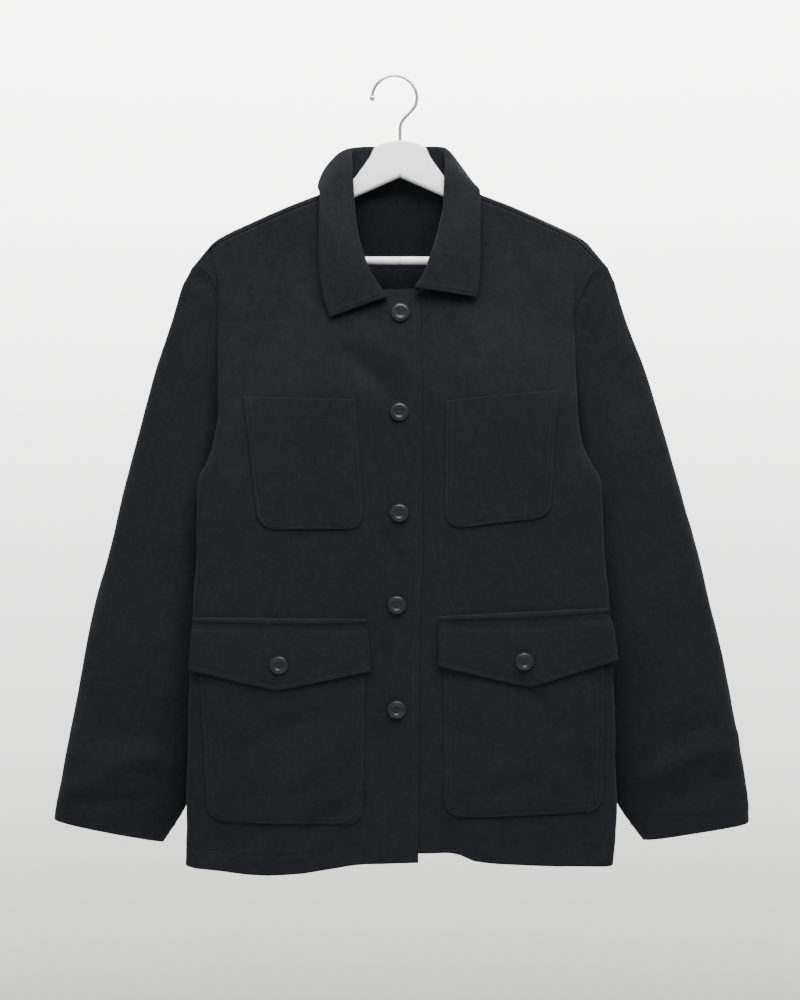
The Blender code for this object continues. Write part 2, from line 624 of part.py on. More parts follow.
def off_armhole(around):
    """The direction from the body's edge to the sleeve's, square to the edge and to its wall."""
    step = 0.004
    place = [armhole(ARMHOLE_BACK if back else ARMHOLE_FRONT, np.clip(share, 0, 1))
             for back in (False, True) for share in (1 - np.abs(1 - 2 * around) - step,
                                                     1 - np.abs(1 - 2 * around) + step)]
    down = np.where((around > 0.5)[..., None], place[2] - place[3], place[1] - place[0])
    off = np.cross(down, ring_wall(around))
    return off / np.linalg.norm(off, axis=-1, keepdims=True)


def sleeve_start(side, around):
    """Where the plain ring would lie at the armhole."""
    row = SLEEVE[side][0]
    angle = 2 * np.pi * around
    power = 2 / SLEEVE_SQUARE
    lengthwise = np.sign(np.cos(angle)) * np.abs(np.cos(angle)) ** power
    depthwise = -np.sign(np.sin(angle)) * np.abs(np.sin(angle)) ** power
    middle = np.array([(row.outer_x + row.inner_x) / 2, 0, (row.outer_z + row.inner_z) / 2])
    half = np.array([(row.outer_x - row.inner_x) / 2, 0, (row.outer_z - row.inner_z) / 2])
    points = middle + half * lengthwise[..., None]
    points[..., 1] += row.half_depth * (1 + SLEEVE_EGG * lengthwise) * depthwise
    return points


# --- the collar's form -------------------------------------------------------------------------
def collar_lines(side, along):
    """The collar's seam, roll and edge lines; along is 0 at the middle of the back, 1 in front."""
    place = np.linspace(0, 1, len(COLLAR))
    lines = {}
    for name in CollarRow._fields:
        rows = [list(getattr(row, name)) for row in COLLAR]
        if side == "left" and name == "edge":
            rows[-1] = list(LEFT_TIP)
            rows[-2] = list(LEFT_BEFORE_TIP)
        rows = np.array(rows, float)
        lines[name] = np.stack([smooth_value(along, place, rows[:, k]) for k in range(3)], axis=-1)
    return lines


def outward(point):
    """The level direction away from the neck's middle."""
    way = point * [1, 1, 0] + [0, 5.0, 0]
    return way / np.linalg.norm(way, axis=-1, keepdims=True)


def clear_of_body(points, gap):
    """Points pushed out of the body's surface by at least the gap."""
    points = points.copy()
    x, y, z = points[..., 0], points[..., 1], points[..., 2]
    centre_z = ridge_height(x) - RIDGE_RADIUS
    away = np.hypot(y, z - centre_z)
    push = np.clip((RIDGE_RADIUS + gap) / np.maximum(away, 1e-6), 1, None)
    over = z > centre_z
    high_y, high_z = y * push, centre_z + (z - centre_z) * push
    front = -(front_depth(x, z, "right") + gap)
    back = back_depth(x, z) + gap
    low_y = np.where(y < 0, np.minimum(y, front), np.maximum(y, back))
    points[..., 1] = np.where(over, high_y, low_y)
    points[..., 2] = np.where(over, high_z, z)
    return points


def collar_grid(side, along, over):
    """Half the collar; over is 0 at the seam, 1 at the roll and 2 at the outer edge."""
    along, over = np.meshgrid(along, over, indexing="ij")
    line = collar_lines(side, along)
    seam, roll, edge = line["seam"], line["roll"], line["edge"]
    rise = roll - seam
    stand = np.linalg.norm(rise, axis=-1, keepdims=True)
    fall = np.linalg.norm(edge - roll, axis=-1, keepdims=True)
    up = rise / stand
    out = outward(roll)
    lean = np.minimum(0.2 * fall, 0.55 * stand)
    top = roll + up * lean * 0.55 + out * 0.16 * fall
    drape = edge + (roll - edge) * 0.38 + out * 0.17 * fall + [0, 0, 2.0]
    fallen = bezier(roll, top, drape, edge, np.clip(over - 1, 0, 1))
    fallen = np.where((over > 1.25)[..., None],
                      clear_of_body(fallen, DOUBLE_CLOTH + COLLAR_LIFT), fallen)
    upright = bezier(seam, seam + rise * 0.35, roll - up * np.minimum(0.3 * stand, 9), roll,
                     np.clip(over, 0, 1))
    points = np.where((over > 1)[..., None], fallen, upright)
    points[..., 0] *= SIDES[side]
    return points


# --- pockets and flaps -------------------------------------------------------------------------
def patch_outline(size, across, down):
    """x and z of a patch pocket: straight top and sides, rounded lower corners."""
    height = size.top_in.z - size.low_in.z
    near_foot = np.clip(1 - (1 - down) * height / size.round_by, 0, 1)
    inset = size.round_by * (1 - np.sqrt(1 - near_foot**2))
    inner_x = size.top_in.x + (size.low_in.x - size.top_in.x) * down + inset
    outer_x = size.top_out.x + (size.low_out.x - size.top_out.x) * down - inset
    inner_z = size.top_in.z + (size.low_in.z - size.top_in.z) * down
    outer_z = size.top_out.z + (size.low_out.z - size.top_out.z) * down
    return inner_x + (outer_x - inner_x) * across, inner_z + (outer_z - inner_z) * across


def patch_grid(side, size, across, down, wall):
    """A patch pocket's face, on the front's own points moved out by the wall given."""
    down, across = np.meshgrid(down, across, indexing="ij")
    x, z = patch_outline(size, across, down)
    crown = size.crown * np.sin(np.pi * across) ** 0.7 * np.sin(np.pi * np.clip(down, 0, 1)) ** 0.7
    return front_point(x, z, side, PATCH_LIFT + wall + crown)


def flap_outline(size, across, down):
    """x and z of a pointed flap."""
    across_point = (size.point.x - size.low_in.x) / (size.low_out.x - size.low_in.x)
    to_point = np.where(across < across_point, across / across_point,
                        (1 - across) / (1 - across_point))
    low_edge = size.low_in.z + (size.low_out.z - size.low_in.z) * across
    at_point = size.low_in.z + (size.low_out.z - size.low_in.z) * across_point
    low_z = low_edge + (size.point.z - at_point) * to_point
    top_z = size.top_in.z + (size.top_out.z - size.top_in.z) * across
    inner_x = size.top_in.x + (size.low_in.x - size.top_in.x) * down
    outer_x = size.top_out.x + (size.low_out.x - size.top_out.x) * down
    return inner_x + (outer_x - inner_x) * across, top_z + (low_z - top_z) * down


def flap_grid(side, across, wall):
    """A flap's face: a raised tuck along its top, then out over the pocket."""
    size = FLAP[side]
    down, across = np.meshgrid(column(FLAP_ROWS, "down"), across, indexing="ij")
    x, z = flap_outline(size, across, down)
    lift = read_table(FLAP_ROWS, "down", "lift", down) + wall
    return front_point(x, z, side, lift)


# --- meshes ------------------------------------------------------------------------------------
def clear_scene():
    for obj in list(bpy.data.objects):
        bpy.data.objects.remove(obj, do_unlink=True)


def make_finishes():
    finishes = {}
    for name, (colour, roughness, metallic) in FINISHES.items():
        material = bpy.data.materials.new(name)
        material.use_nodes = True
        shader = material.node_tree.nodes["Principled BSDF"]
        shader.inputs["Base Color"].default_value = (*colour, 1)
        shader.inputs["Roughness"].default_value = roughness
        shader.inputs["Metallic"].default_value = metallic
        finishes[name] = material
    return finishes


def add_object(name, mesh, finish, parent):
    mesh.materials.append(finish)
    mesh.shade_smooth()
    obj = bpy.data.objects.new(name, mesh)
    obj.parent = parent
    bpy.context.scene.collection.objects.link(obj)
    return obj


def face_normals(grid, turn):
    """Each point's direction out of the cloth, from its neighbours on the grid."""
    out = np.cross(np.gradient(grid, axis=1), np.gradient(grid, axis=0))
    out = out / np.linalg.norm(out, axis=-1, keepdims=True)
    return -out if turn else out


def shell_mesh(name, outer, inner, turn):
    """A closed wall between two grids of points: both faces, and a rim along the edges."""
    rows, cols = outer.shape[:2]
    back = rows * cols

    def at(r, c):
        return r * cols + c

    faces = []
    for r in range(rows - 1):
        for c in range(cols - 1):
            face = (at(r, c), at(r, c + 1), at(r + 1, c + 1), at(r + 1, c))
            faces += [face, tuple(back + v for v in face[::-1])]
    edges = [(at(0, c + 1), at(0, c)) for c in range(cols - 1)]
    edges += [(at(rows - 1, c), at(rows - 1, c + 1)) for c in range(cols - 1)]
    edges += [(at(r, 0), at(r + 1, 0)) for r in range(rows - 1)]
    edges += [(at(r + 1, cols - 1), at(r, cols - 1)) for r in range(rows - 1)]
    faces += [(a, b, back + b, back + a) for a, b in edges]
    if turn:
        faces = [face[::-1] for face in faces]
    points = np.concatenate([outer.reshape(-1, 3), inner.reshape(-1, 3)]) * MM
    mesh = bpy.data.meshes.new(name)
    mesh.from_pydata(points.tolist(), [], faces)
    return mesh


def add_cloth(name, outer, inward, turn, finish, parent):
    """A piece of cloth from its outer face and the way to its inner one."""
    mesh = shell_mesh(name, outer, outer + inward, turn)
    return add_object(name, mesh, finish, parent)


def to_other_side(side):
    return np.array([SIDES[side], 1, 1])


def make_fronts(finish, parent):
    for side in SIDES:
        turn = side == "right"
        grid = front_grid(side, BODY_ACROSS, FRONT_ROWS)
        inward = -face_normals(grid, turn)
        above = FRONT_ROWS > UNDERARM_ROW
        share = front_share(FRONT_ROWS[above])
        inward[~above, -1] = np.array([-1, 0, 0]) * to_other_side(side)
        inward[above, -1] = armhole_wall(share, back=False) * to_other_side(side)
        inward[-1] = shoulder_wall(side, BODY_ACROSS) * to_other_side(side)
        add_cloth(f"front_{side}", grid, CLOTH * inward, turn, finish, parent)


def make_backs(finish, parent):
    for side in SIDES:
        turn = side == "left"
        grid = back_grid(side, BODY_ACROSS, BACK_ROWS)
        inward = -face_normals(grid, turn)
        above = (BACK_ROWS > UNDERARM_ROW) & (BACK_ROWS <= RIDGE_ROWS)
        share = back_share(BACK_ROWS[above])
        inward[BACK_ROWS <= UNDERARM_ROW, -1] = np.array([-1, 0, 0]) * to_other_side(side)
        inward[above, -1] = armhole_wall(share, back=True) * to_other_side(side)
        over = BACK_ROWS > RIDGE_ROWS
        share = ARMHOLE_START * (BACK_ROWS[over] - RIDGE_ROWS) / (1 - RIDGE_ROWS)
        inward[over, -1] = armhole_wall(share, back=False) * to_other_side(side)
        inward[-1] = shoulder_wall(side, BODY_ACROSS) * to_other_side(side)
        add_cloth(f"back_{side}", grid, CLOTH * inward, turn, finish, parent)


def ring_places():
    """Places round the sleeve that meet the rows of the front and back at the armhole, from its
    own seam at the underarm, up behind and down in front."""
    front = front_share(FRONT_ROWS[FRONT_ROWS >= UNDERARM_ROW])
    behind = back_share(BACK_ROWS[(BACK_ROWS > UNDERARM_ROW) & (BACK_ROWS <= RIDGE_ROWS)])
    over = ARMHOLE_START * (BACK_ROWS[(BACK_ROWS > RIDGE_ROWS) & (BACK_ROWS < 1)] - RIDGE_ROWS)
    over = over / (1 - RIDGE_ROWS)
    places = np.concatenate([1 + front / 2, 1 - behind / 2, 1 + over / 2, [0.5]])
    return np.unique(places)


def make_sleeves(finish, parent):
    around = ring_places()
    for side in SIDES:
        turn = side == "left"
        grid = sleeve_grid(side, around, SLEEVE_DOWN)
        inward = -face_normals(grid, turn)
        inward[0] = ring_wall(around % 1.0) * to_other_side(side)
        add_cloth(f"sleeve_{side}", grid, CLOTH * inward, turn, finish, parent)


def make_collar(finish, parent):
    right = collar_grid("right", COLLAR_ALONG[:0:-1], COLLAR_OVER)
    left = collar_grid("left", COLLAR_ALONG, COLLAR_OVER)
    grid = np.concatenate([right, left])
    inward = -DOUBLE_CLOTH * face_normals(grid, turn=False)
    add_cloth("collar", grid, inward, False, finish, parent)


def outward_shares(count):
    """Shares across a patch, closer together towards its outer edge."""
    return np.sin(np.pi / 2 * np.linspace(0, 1, count)) ** 1.3


def make_pockets(finish, parent):
    across = outward_shares(11)
    for side in SIDES:
        for kind, sizes in (("chest", CHEST_POCKET), ("lower", LOWER_POCKET)):
            size = sizes[side]
            height = size.top_in.z - size.low_in.z
            straight = 1 - size.round_by / height
            rounded = straight + (1 - straight) * np.sin(np.linspace(0, np.pi / 2, 5))
            down = np.concatenate([np.linspace(0, straight, 7), rounded[1:]])
            outer = patch_grid(side, size, across, down, CLOTH)
            inner = patch_grid(side, size, across, down, 0.0)
            add_cloth(f"{kind}_pocket_{side}", outer, inner - outer, side == "left", finish, parent)


def make_flaps(finish, parent):
    across = outward_shares(12)
    for side in SIDES:
        outer = flap_grid(side, across, DOUBLE_CLOTH)
        inner = flap_grid(side, across, 0.0)
        add_cloth(f"pocket_flap_{side}", outer, inner - outer, side == "left", finish, parent)


def turned_profile():
    """Half of a button's section, radius and height: domed back, raised rim, dished face."""
    radius = BUTTON_DIAMETER / 2
    dish = BUTTON_THICK - BUTTON_DISH
    return [(0, 0), (radius - 2.2, 0), (radius - 0.5, 0.7), (radius, BUTTON_THICK / 2),
            (radius - 0.5, BUTTON_THICK - 0.4), (radius - 1.2, BUTTON_THICK),
            (radius - BUTTON_RIM, BUTTON_THICK - 0.2), (radius - BUTTON_RIM - 0.8, dish), (0, dish)]


def button_mesh(finish):
    """A sewn button with four holes, its back on the origin and its face along +Z."""
    blank = bmesh.new()
    points = [blank.verts.new((r * MM, 0, h * MM)) for r, h in turned_profile()]
    outline = [blank.edges.new(pair) for pair in zip(points, points[1:])]
    bmesh.ops.spin(blank, geom=points + outline, axis=(0, 0, 1), cent=(0, 0, 0),
                   angle=2 * math.pi, steps=BUTTON_STEPS)
    bmesh.ops.remove_doubles(blank, verts=blank.verts, dist=0.01 * MM)
    bmesh.ops.recalc_face_normals(blank, faces=blank.faces)
    mesh = bpy.data.meshes.new("button_blank")
    blank.to_mesh(mesh)
    blank.free()
    blank_object = bpy.data.objects.new("button_blank", mesh)

    drill = bmesh.new()
    for x in (-0.5, 0.5):
        for y in (-0.5, 0.5):
            place = Matrix.Translation(Vector((x, y, 0)) * BUTTON_HOLE_PITCH * MM)
            bmesh.ops.create_cone(drill, cap_ends=True, segments=8, matrix=place,
                                  radius1=BUTTON_HOLE / 2 * MM, radius2=BUTTON_HOLE / 2 * MM,
                                  depth=4 * BUTTON_THICK * MM)
    drill_mesh = bpy.data.meshes.new("button_drill")
    drill.to_mesh(drill_mesh)
    drill.free()
    drill_object = bpy.data.objects.new("button_drill", drill_mesh)
    for obj in (blank_object, drill_object):
        bpy.context.scene.collection.objects.link(obj)
    cut = blank_object.modifiers.new("holes", "BOOLEAN")
    cut.operation = "DIFFERENCE"
    cut.solver = "EXACT"
    cut.object = drill_object
    bpy.context.view_layer.update()
    drilled = bpy.data.meshes.new_from_object(
        blank_object.evaluated_get(bpy.context.evaluated_depsgraph_get()))
    drilled.name = "button"
    drilled.materials.clear()
    drilled.materials.append(finish)
    drilled.shade_smooth()
    drilled.set_sharp_from_angle(angle=math.radians(35))
    for obj in (blank_object, drill_object):
        bpy.data.objects.remove(obj, do_unlink=True)
    return drilled


def seat_button(name, mesh, base, outward_way, parent):
    """A button standing on a point of the cloth, its face along the cloth's outward direction."""
    obj = bpy.data.objects.new(name, mesh)
    obj.parent = parent
    obj.location = Vector(base) * MM
    obj.rotation_euler = Vector(outward_way).to_track_quat("Z", "Y").to_euler()
    bpy.context.scene.collection.objects.link(obj)


def make_buttons(finish, parent):
    mesh = button_mesh(finish)
    for number, place in enumerate(FRONT_BUTTONS, start=1):
        lifted = front_point(-place.x, place.z, "right", np.array([0.0, 1.0]))
        way = lifted[1] - lifted[0]
        base = lifted[0] + BUTTON_LIFT * way
        seat_button(f"front_button_{number}", mesh, base, way, parent)
    for side, place in FLAP_BUTTONS.items():
        size = FLAP[side]
        across = (place.x - size.low_in.x) / (size.low_out.x - size.low_in.x)
        low = flap_outline(size, np.array(across), np.array(1.0))[1]
        down = (size.top_in.z - place.z) / (size.top_in.z - low)
        lift = read_table(FLAP_ROWS, "down", "lift", down) + DOUBLE_CLOTH
        lifted = front_point(place.x, place.z, side, np.array([0.0, 1.0]))
        way = lifted[1] - lifted[0]
        base = lifted[0] + (lift + FLAP_BUTTON_LIFT) * way
        seat_button(f"flap_button_{side}", mesh, base, way, parent)


def make_wood(finish, parent):
    """The hanger's body: its outline, as thick as the wood, with rounded edges."""
    half = [(row.x, row.z) for row in WOOD] + [(0, WOOD_APEX)]
    outline = half + [(-x, z) for x, z in half[-2:0:-1]]
    shape = bmesh.new()
    front = [shape.verts.new((x * MM, -WOOD_THICK / 2 * MM, z * MM)) for x, z in outline]
    face = shape.faces.new(front)
    raised = bmesh.ops.extrude_face_region(shape, geom=[face])["geom"]
    moved = [part for part in raised if isinstance(part, bmesh.types.BMVert)]
    bmesh.ops.translate(shape, verts=moved, vec=(0, WOOD_THICK * MM, 0))
    bmesh.ops.recalc_face_normals(shape, faces=shape.faces)
    mesh = bpy.data.meshes.new("hanger_wood")
    shape.to_mesh(mesh)
    shape.free()
    obj = add_object("hanger_wood", mesh, finish, parent)
    mesh.set_sharp_from_angle(angle=math.radians(30))
    bevel = obj.modifiers.new("rounded_edges", "BEVEL")
    bevel.width = WOOD_ROUND * MM
    bevel.segments = 3
    bevel.limit_method = "ANGLE"
    bevel.angle_limit = math.radians(60)


def make_bar(finish, parent):
    """The trouser bar between the hanger's two ends."""
    shape = bmesh.new()
    bmesh.ops.create_cone(shape, cap_ends=True, segments=20, radius1=BAR_DIAMETER / 2 * MM,
                          radius2=BAR_DIAMETER / 2 * MM, depth=2 * BAR_HALF * MM)
    mesh = bpy.data.meshes.new("hanger_bar")
    shape.to_mesh(mesh)
    shape.free()
    obj = add_object("hanger_bar", mesh, finish, parent)
    obj.location.z = BAR_HEIGHT * MM
    obj.rotation_euler.y = math.pi / 2


def hook_path():
    """The hook's middle line, from the wood up the stem and round to its tip."""
    centre = (-HOOK_OFFSET, -HOOK_RADIUS + HOOK_WIRE / 2)
    swing = np.radians(np.linspace(HOOK_FROM, HOOK_TO, HOOK_STEPS))
    arc = [(centre[0] + HOOK_RADIUS * np.cos(a), centre[1] + HOOK_RADIUS * np.sin(a)) for a in swing]
    return HOOK_STEM + arc


def make_hook(finish, parent):
    """The hanger's swivel hook: round wire with a ball at its tip."""
    path = hook_path()
    curve = bpy.data.curves.new("hanger_hook", "CURVE")
    curve.dimensions = "3D"
    curve.bevel_depth = HOOK_WIRE / 2 * MM
    curve.bevel_resolution = 3
    curve.use_fill_caps = True
    wire = curve.splines.new("POLY")
    wire.points.add(len(path) - 1)
    for point, (x, z) in zip(wire.points, path):
        point.co = (x * MM, 0, z * MM, 1)
    bent = bpy.data.objects.new("hook_wire", curve)
    bpy.context.scene.collection.objects.link(bent)
    bpy.context.view_layer.update()
    mesh = bpy.data.meshes.new_from_object(
        bent.evaluated_get(bpy.context.evaluated_depsgraph_get()))
    bpy.data.objects.remove(bent, do_unlink=True)
    weld = bmesh.new()
    weld.from_mesh(mesh)
    bmesh.ops.remove_doubles(weld, verts=weld.verts, dist=0.01 * MM)
    weld.to_mesh(mesh)
    weld.free()
    mesh.name = "hanger_hook"
    hook = add_object("hanger_hook", mesh, finish, parent)

    ball = bmesh.new()
    tip = Matrix.Translation(Vector((path[-1][0], 0, path[-1][1])) * MM)
    bmesh.ops.create_uvsphere(ball, u_segments=14, v_segments=8, radius=HOOK_BALL / 2 * MM,
                              matrix=tip)
    ball_mesh = bpy.data.meshes.new("hook_ball")
    ball.to_mesh(ball_mesh)
    ball.free()
    ball_object = bpy.data.objects.new("hook_ball", ball_mesh)
    ball_object.parent = parent
    ball_object.hide_render = True
    ball_object.display_type = "WIRE"
    bpy.context.scene.collection.objects.link(ball_object)
    join = hook.modifiers.new("ball", "BOOLEAN")
    join.operation = "UNION"
    join.solver = "EXACT"
    join.object = ball_object


def main():
    clear_scene()
    finishes = make_finishes()
    middle = bpy.data.objects.new("jacket_middle", None)
    middle.location.x = HOOK_OFFSET * MM
    bpy.context.scene.collection.objects.link(middle)
    twill = finishes["twill"]
    make_fronts(twill, middle)
    make_backs(twill, middle)
    make_sleeves(twill, middle)
    make_collar(twill, middle)
    make_pockets(twill, middle)
    make_flaps(twill, middle)
    make_buttons(finishes["button"], middle)
    make_wood(finishes["white_paint"], middle)
    make_bar(finishes["white_paint"], middle)
    make_hook(finishes["chrome"], middle)


if __name__ == "__main__":
    main()
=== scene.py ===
"""Looks of a dark cotton field jacket, buttoned up and hanging on a white wooden hanger.

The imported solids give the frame. The cloth pieces are thin shells on the same forms, finer and
with their creases, seams and stitching. Lengths in the tables are millimetres in the jacket's own
frame: x from its middle, positive to the wearer's left, z up from the inside of the hook's top,
and the front facing -Y. Meshes are written in metres in the row's frame.
"""
from __future__ import annotations

import logging
import math
from collections import namedtuple
from collections.abc import Callable, Sequence
from dataclasses import dataclass, field
from enum import Enum
from itertools import product
from typing import ClassVar

import bmesh
import bpy
import numpy as np
from bpy.types import Material, Mesh, Node, NodeSocket, NodeTree, Object
from mathutils import Matrix, Vector


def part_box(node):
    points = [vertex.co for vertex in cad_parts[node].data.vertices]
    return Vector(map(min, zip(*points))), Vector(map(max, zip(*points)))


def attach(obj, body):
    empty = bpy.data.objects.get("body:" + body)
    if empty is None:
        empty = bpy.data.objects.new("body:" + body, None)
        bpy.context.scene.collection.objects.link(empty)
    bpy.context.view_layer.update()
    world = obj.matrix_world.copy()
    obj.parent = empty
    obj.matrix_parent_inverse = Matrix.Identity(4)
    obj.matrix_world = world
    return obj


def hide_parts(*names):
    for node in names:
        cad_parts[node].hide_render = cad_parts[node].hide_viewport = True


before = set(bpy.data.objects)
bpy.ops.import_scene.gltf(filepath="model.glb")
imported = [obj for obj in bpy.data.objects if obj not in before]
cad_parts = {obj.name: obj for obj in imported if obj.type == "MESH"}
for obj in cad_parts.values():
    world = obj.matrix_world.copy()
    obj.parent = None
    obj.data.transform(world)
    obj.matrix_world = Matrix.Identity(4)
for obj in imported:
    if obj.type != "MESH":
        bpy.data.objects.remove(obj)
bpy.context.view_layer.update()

Array = np.ndarray
LOG = logging.getLogger("jacket")
BODY_NAME = "root"
SHARP = math.radians(40)
MM = 0.001

# --- driving sizes, in millimetres unless said otherwise -----------------------------------------
MIDDLE_X = sum(corner.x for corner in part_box("hanger_wood")) / 2 / MM  # the jacket's middle
CLOTH = 1.3  # one layer with its turnings
DOUBLE_CLOTH = 2.2  # collar and flaps
RIDGE_RADIUS = 10.0  # the cloth's bend over the hanger's top edge
SEAM_DROP = 7.0  # the shoulder seam lies this far below the ridge, on the front
HEM_SIDE = -853.0
UNDERARM = -441.0
FRONT_ARCH = 7.0
BACK_ARCH = 4.0
FOLD_DEPTH = 8.0
FOLD_WIDTH = 12.0
FOLD_HEIGHTS = (-300.0, -215.0)  # full below the first, a plain crease above the second
FOLD_LEVEL = 0.33  # how soon the cloth behind the fold comes to its seam's height
FOLD_REACH = 0.3  # how far it goes straight back, as a share of the way
FOLD_TUCK = (0.75, 0.24)  # how far it comes straight in at the seam, ahead and inward
FRONT_RAMP = 220.0
BACK_RAMP = 120.0
UNDERLAP = 2.3
UNDERLAP_FROM = 24.0
UNDERLAP_TO = 60.0
UNDER_EDGE = -18.0
LAP_SHARED = (16.0, 52.0)  # to here the under front lies as the upper one does, then on its own
RIPPLE_WAVES = 8
RIPPLE_SPREAD = (0.7, 1.7)  # least and greatest wavelength, as shares of a ripple's size
RIPPLE_STRENGTH = 1.6
CREASE_BLEND = 5  # how sharply a crease's parts take over from each other
CREASE_ENDS = (0.02, 0.98)  # the share of its path that a crease takes
CREASE_STEP = 0.4  # of its width, between its parts
CREASE_LEAST = 12  # parts
CREASE_FADE = 0.6  # how fast it dies away at its ends
TWILL_COLOUR = (0.0085, 0.0093, 0.0113)
THREAD_COLOUR = (0.0150, 0.0161, 0.0188)
BUTTONHOLE_COLOUR = (0.0070, 0.0076, 0.0090)
# Up a panel, 0 is the hem and 1 the shoulder seam; these are places between.
UNDERARM_ROW = 0.5
CORNER_ROW = 0.76
NECK_ROW = 0.78
RIDGE_ROWS = 0.9
SHOULDER_END = np.array([228.0, 0.0, 209.0])  # where the shoulder meets the sleeve, without signs
TINY = 1e-9  # keeps a division from failing
FAR_OFF = 500.0  # stands for an edge that has no seam there
SHOULDER_CALM = (8.0, 60.0)  # below the ridge, from no drape to all of it
FOLD_PLACE = 0.8  # across a panel, the share of the places that comes before the fold's tip
FOLD_SPAN = 0.2  # the share that goes round the tip
FOLD_DROP = 0.8  # how far a row has come down to its seam where it folds
ROW_BEND = 1.3  # how late along a row it comes down
PANEL_SEEDS = {"right": (7, 37), "left": (11, 31)}  # soft fields of each side's front and back
CRUMPLE_SEED = 23

# --- section rows ----------------------------------------------------------------------------
Place = namedtuple("Place", "x z")


def table(fields: str, *rows: tuple) -> list:
    """Rows of sizes, with a name for each column."""
    row_type = namedtuple("Row", fields)
    return [row_type(*row) for row in rows]


# The body, a row for each height: where the front folds back on each side, how far the middle of
# the front stands forward, where the side seam lies, and the same for the back.
BODY = table("z fold_right fold_left front_depth seam_x back_fold back_depth",
    (-858, 230.2, 229.8, 55.0, 213, 224, 44), (-788, 229.1, 233.4, 57.0, 210, 226, 44),
    (-740, 228.0, 231.5, 57.5, 205, 226, 44), (-655, 226.0, 229.8, 58.0, 194, 225, 44),
    (-600, 223.8, 225.5, 58.0, 186, 223, 44), (-530, 219.2, 221.6, 57.0, 176, 220, 44),
    (-486, 218.4, 218.6, 56.0, 173, 219, 44), (-444, 216.6, 215.3, 54.5, 178, 216, 43),
    (-426, 207.8, 205.0, 53.5, 178, 211, 43), (-405, 201.5, 197.5, 52.5, 178, 206, 42),
    (-368, 196.3, 192.0, 50.0, 178, 202, 41), (-303, 197.8, 189.6, 42.0, 178, 200, 38),
    (-235, 198.4, 189.5, 31.0, 178, 202, 34), (-190, 206.8, 192.5, 22.0, 178, 206, 30),
    (-120, 228.0, 226.0, 14.0, 178, 228, 20))

# The top edge of the shoulders, seen from the front.
RIDGE = table("x z",
    (0, -98), (40, -110), (80, -126), (121, -142), (160, -159.5), (200, -179.5), (212, -190),
    (228, -209))

# The armhole, from the end of the shoulder seam down to the underarm.
ARMHOLE_START = 0.035  # share of the front armhole that lies above the shoulder seam
ARMHOLE_FRONT = table("x y z",
    (228.0, 0, -209), (224.5, -7.5, -211.5), (213, -11, -218), (201, -13, -238), (191, -14, -264),
    (184, -16, -302), (181, -18, -346), (179, -17, -392), (178, -10, -427), (178, 0, -441))
ARMHOLE_BACK = table("x y z",
    (228.0, 0, -209), (224, 7.5, -212), (214, 11, -220), (204, 15, -242), (196, 18, -272),
    (189, 20, -312), (184, 20, -352), (181, 18, -394), (179, 10, -428), (178, 0, -441))

# The neckline of each front, from its free corner to the shoulder seam, and that of the back.
NECKLINE = {
    "right": table("x z",
        (-16.2, -245), (14, -244), (40, -234), (62, -208), (75, -173), (80, -145), (80.5, -133.2)),
    "left": table("x z",
        (-18, -236.5), (16, -236), (40, -229), (62, -206), (75, -173), (80, -145), (80.5, -133.2)),
}
BACK_NECKLINE = table("x z", (0, -133), (30, -132.6), (58, -130), (74, -127.2), (80.5, -126.2))

# The free front edge of the upper front, past the middle.
FRONT_EDGE = table("z x",
    (-855, -19.2), (-572, -21.4), (-540, -23.5), (-300, -23), (-262, -21.6), (-245, -16.2))

# The hem's height along each front, which hangs in one long shallow wave.
HEM = {
    "right": table("x z",
        (-20, -853), (30, -855), (69, -860.5), (101, -864.8), (133, -866.4), (182, -862.6),
        (214, -858.4), (232, -852.5)),
    "left": table("x z",
        (-20, -843.4), (46, -843.4), (59, -845.5), (74, -851.4), (115, -855.1), (173, -857.8),
        (204, -858.4), (232, -856.2)),
}

# The sleeves, a row for each ring: its outer end, its inner end, half its depth.
SLEEVE = {
    "right": table("outer_x outer_z inner_x inner_z half_depth",
        (228.0, -209, 178.0, -441, 13), (238.7, -234, 184.0, -460, 15),
        (260.7, -300, 186.8, -493, 18), (284.9, -388, 190.3, -548, 21),
        (312.4, -498, 197.0, -608, 23), (335.5, -586, 206.8, -674, 24),
        (356.4, -696, 220.0, -740, 22), (371.3, -773, 234.3, -794, 19),
        (378.7, -816, 261.8, -840, 15)),
    "left": table("outer_x outer_z inner_x inner_z half_depth",
        (228.0, -209, 178.0, -441, 13), (236.5, -234, 184.0, -460, 15),
        (259.6, -300, 186.5, -493, 18), (288.2, -388, 189.0, -548, 21),
        (319.0, -498, 196.0, -608, 23), (341.5, -586, 207.0, -674, 24),
        (365.2, -696, 222.0, -740, 22), (378.4, -773, 239.0, -794, 19),
        (382.8, -819, 269.0, -838, 15)),
}
SLEEVE_EGG = 0.18  # the sleeve is this share fatter outside than inside
SLEEVE_SQUARE = 2.3  # power of the superellipse that its rings follow

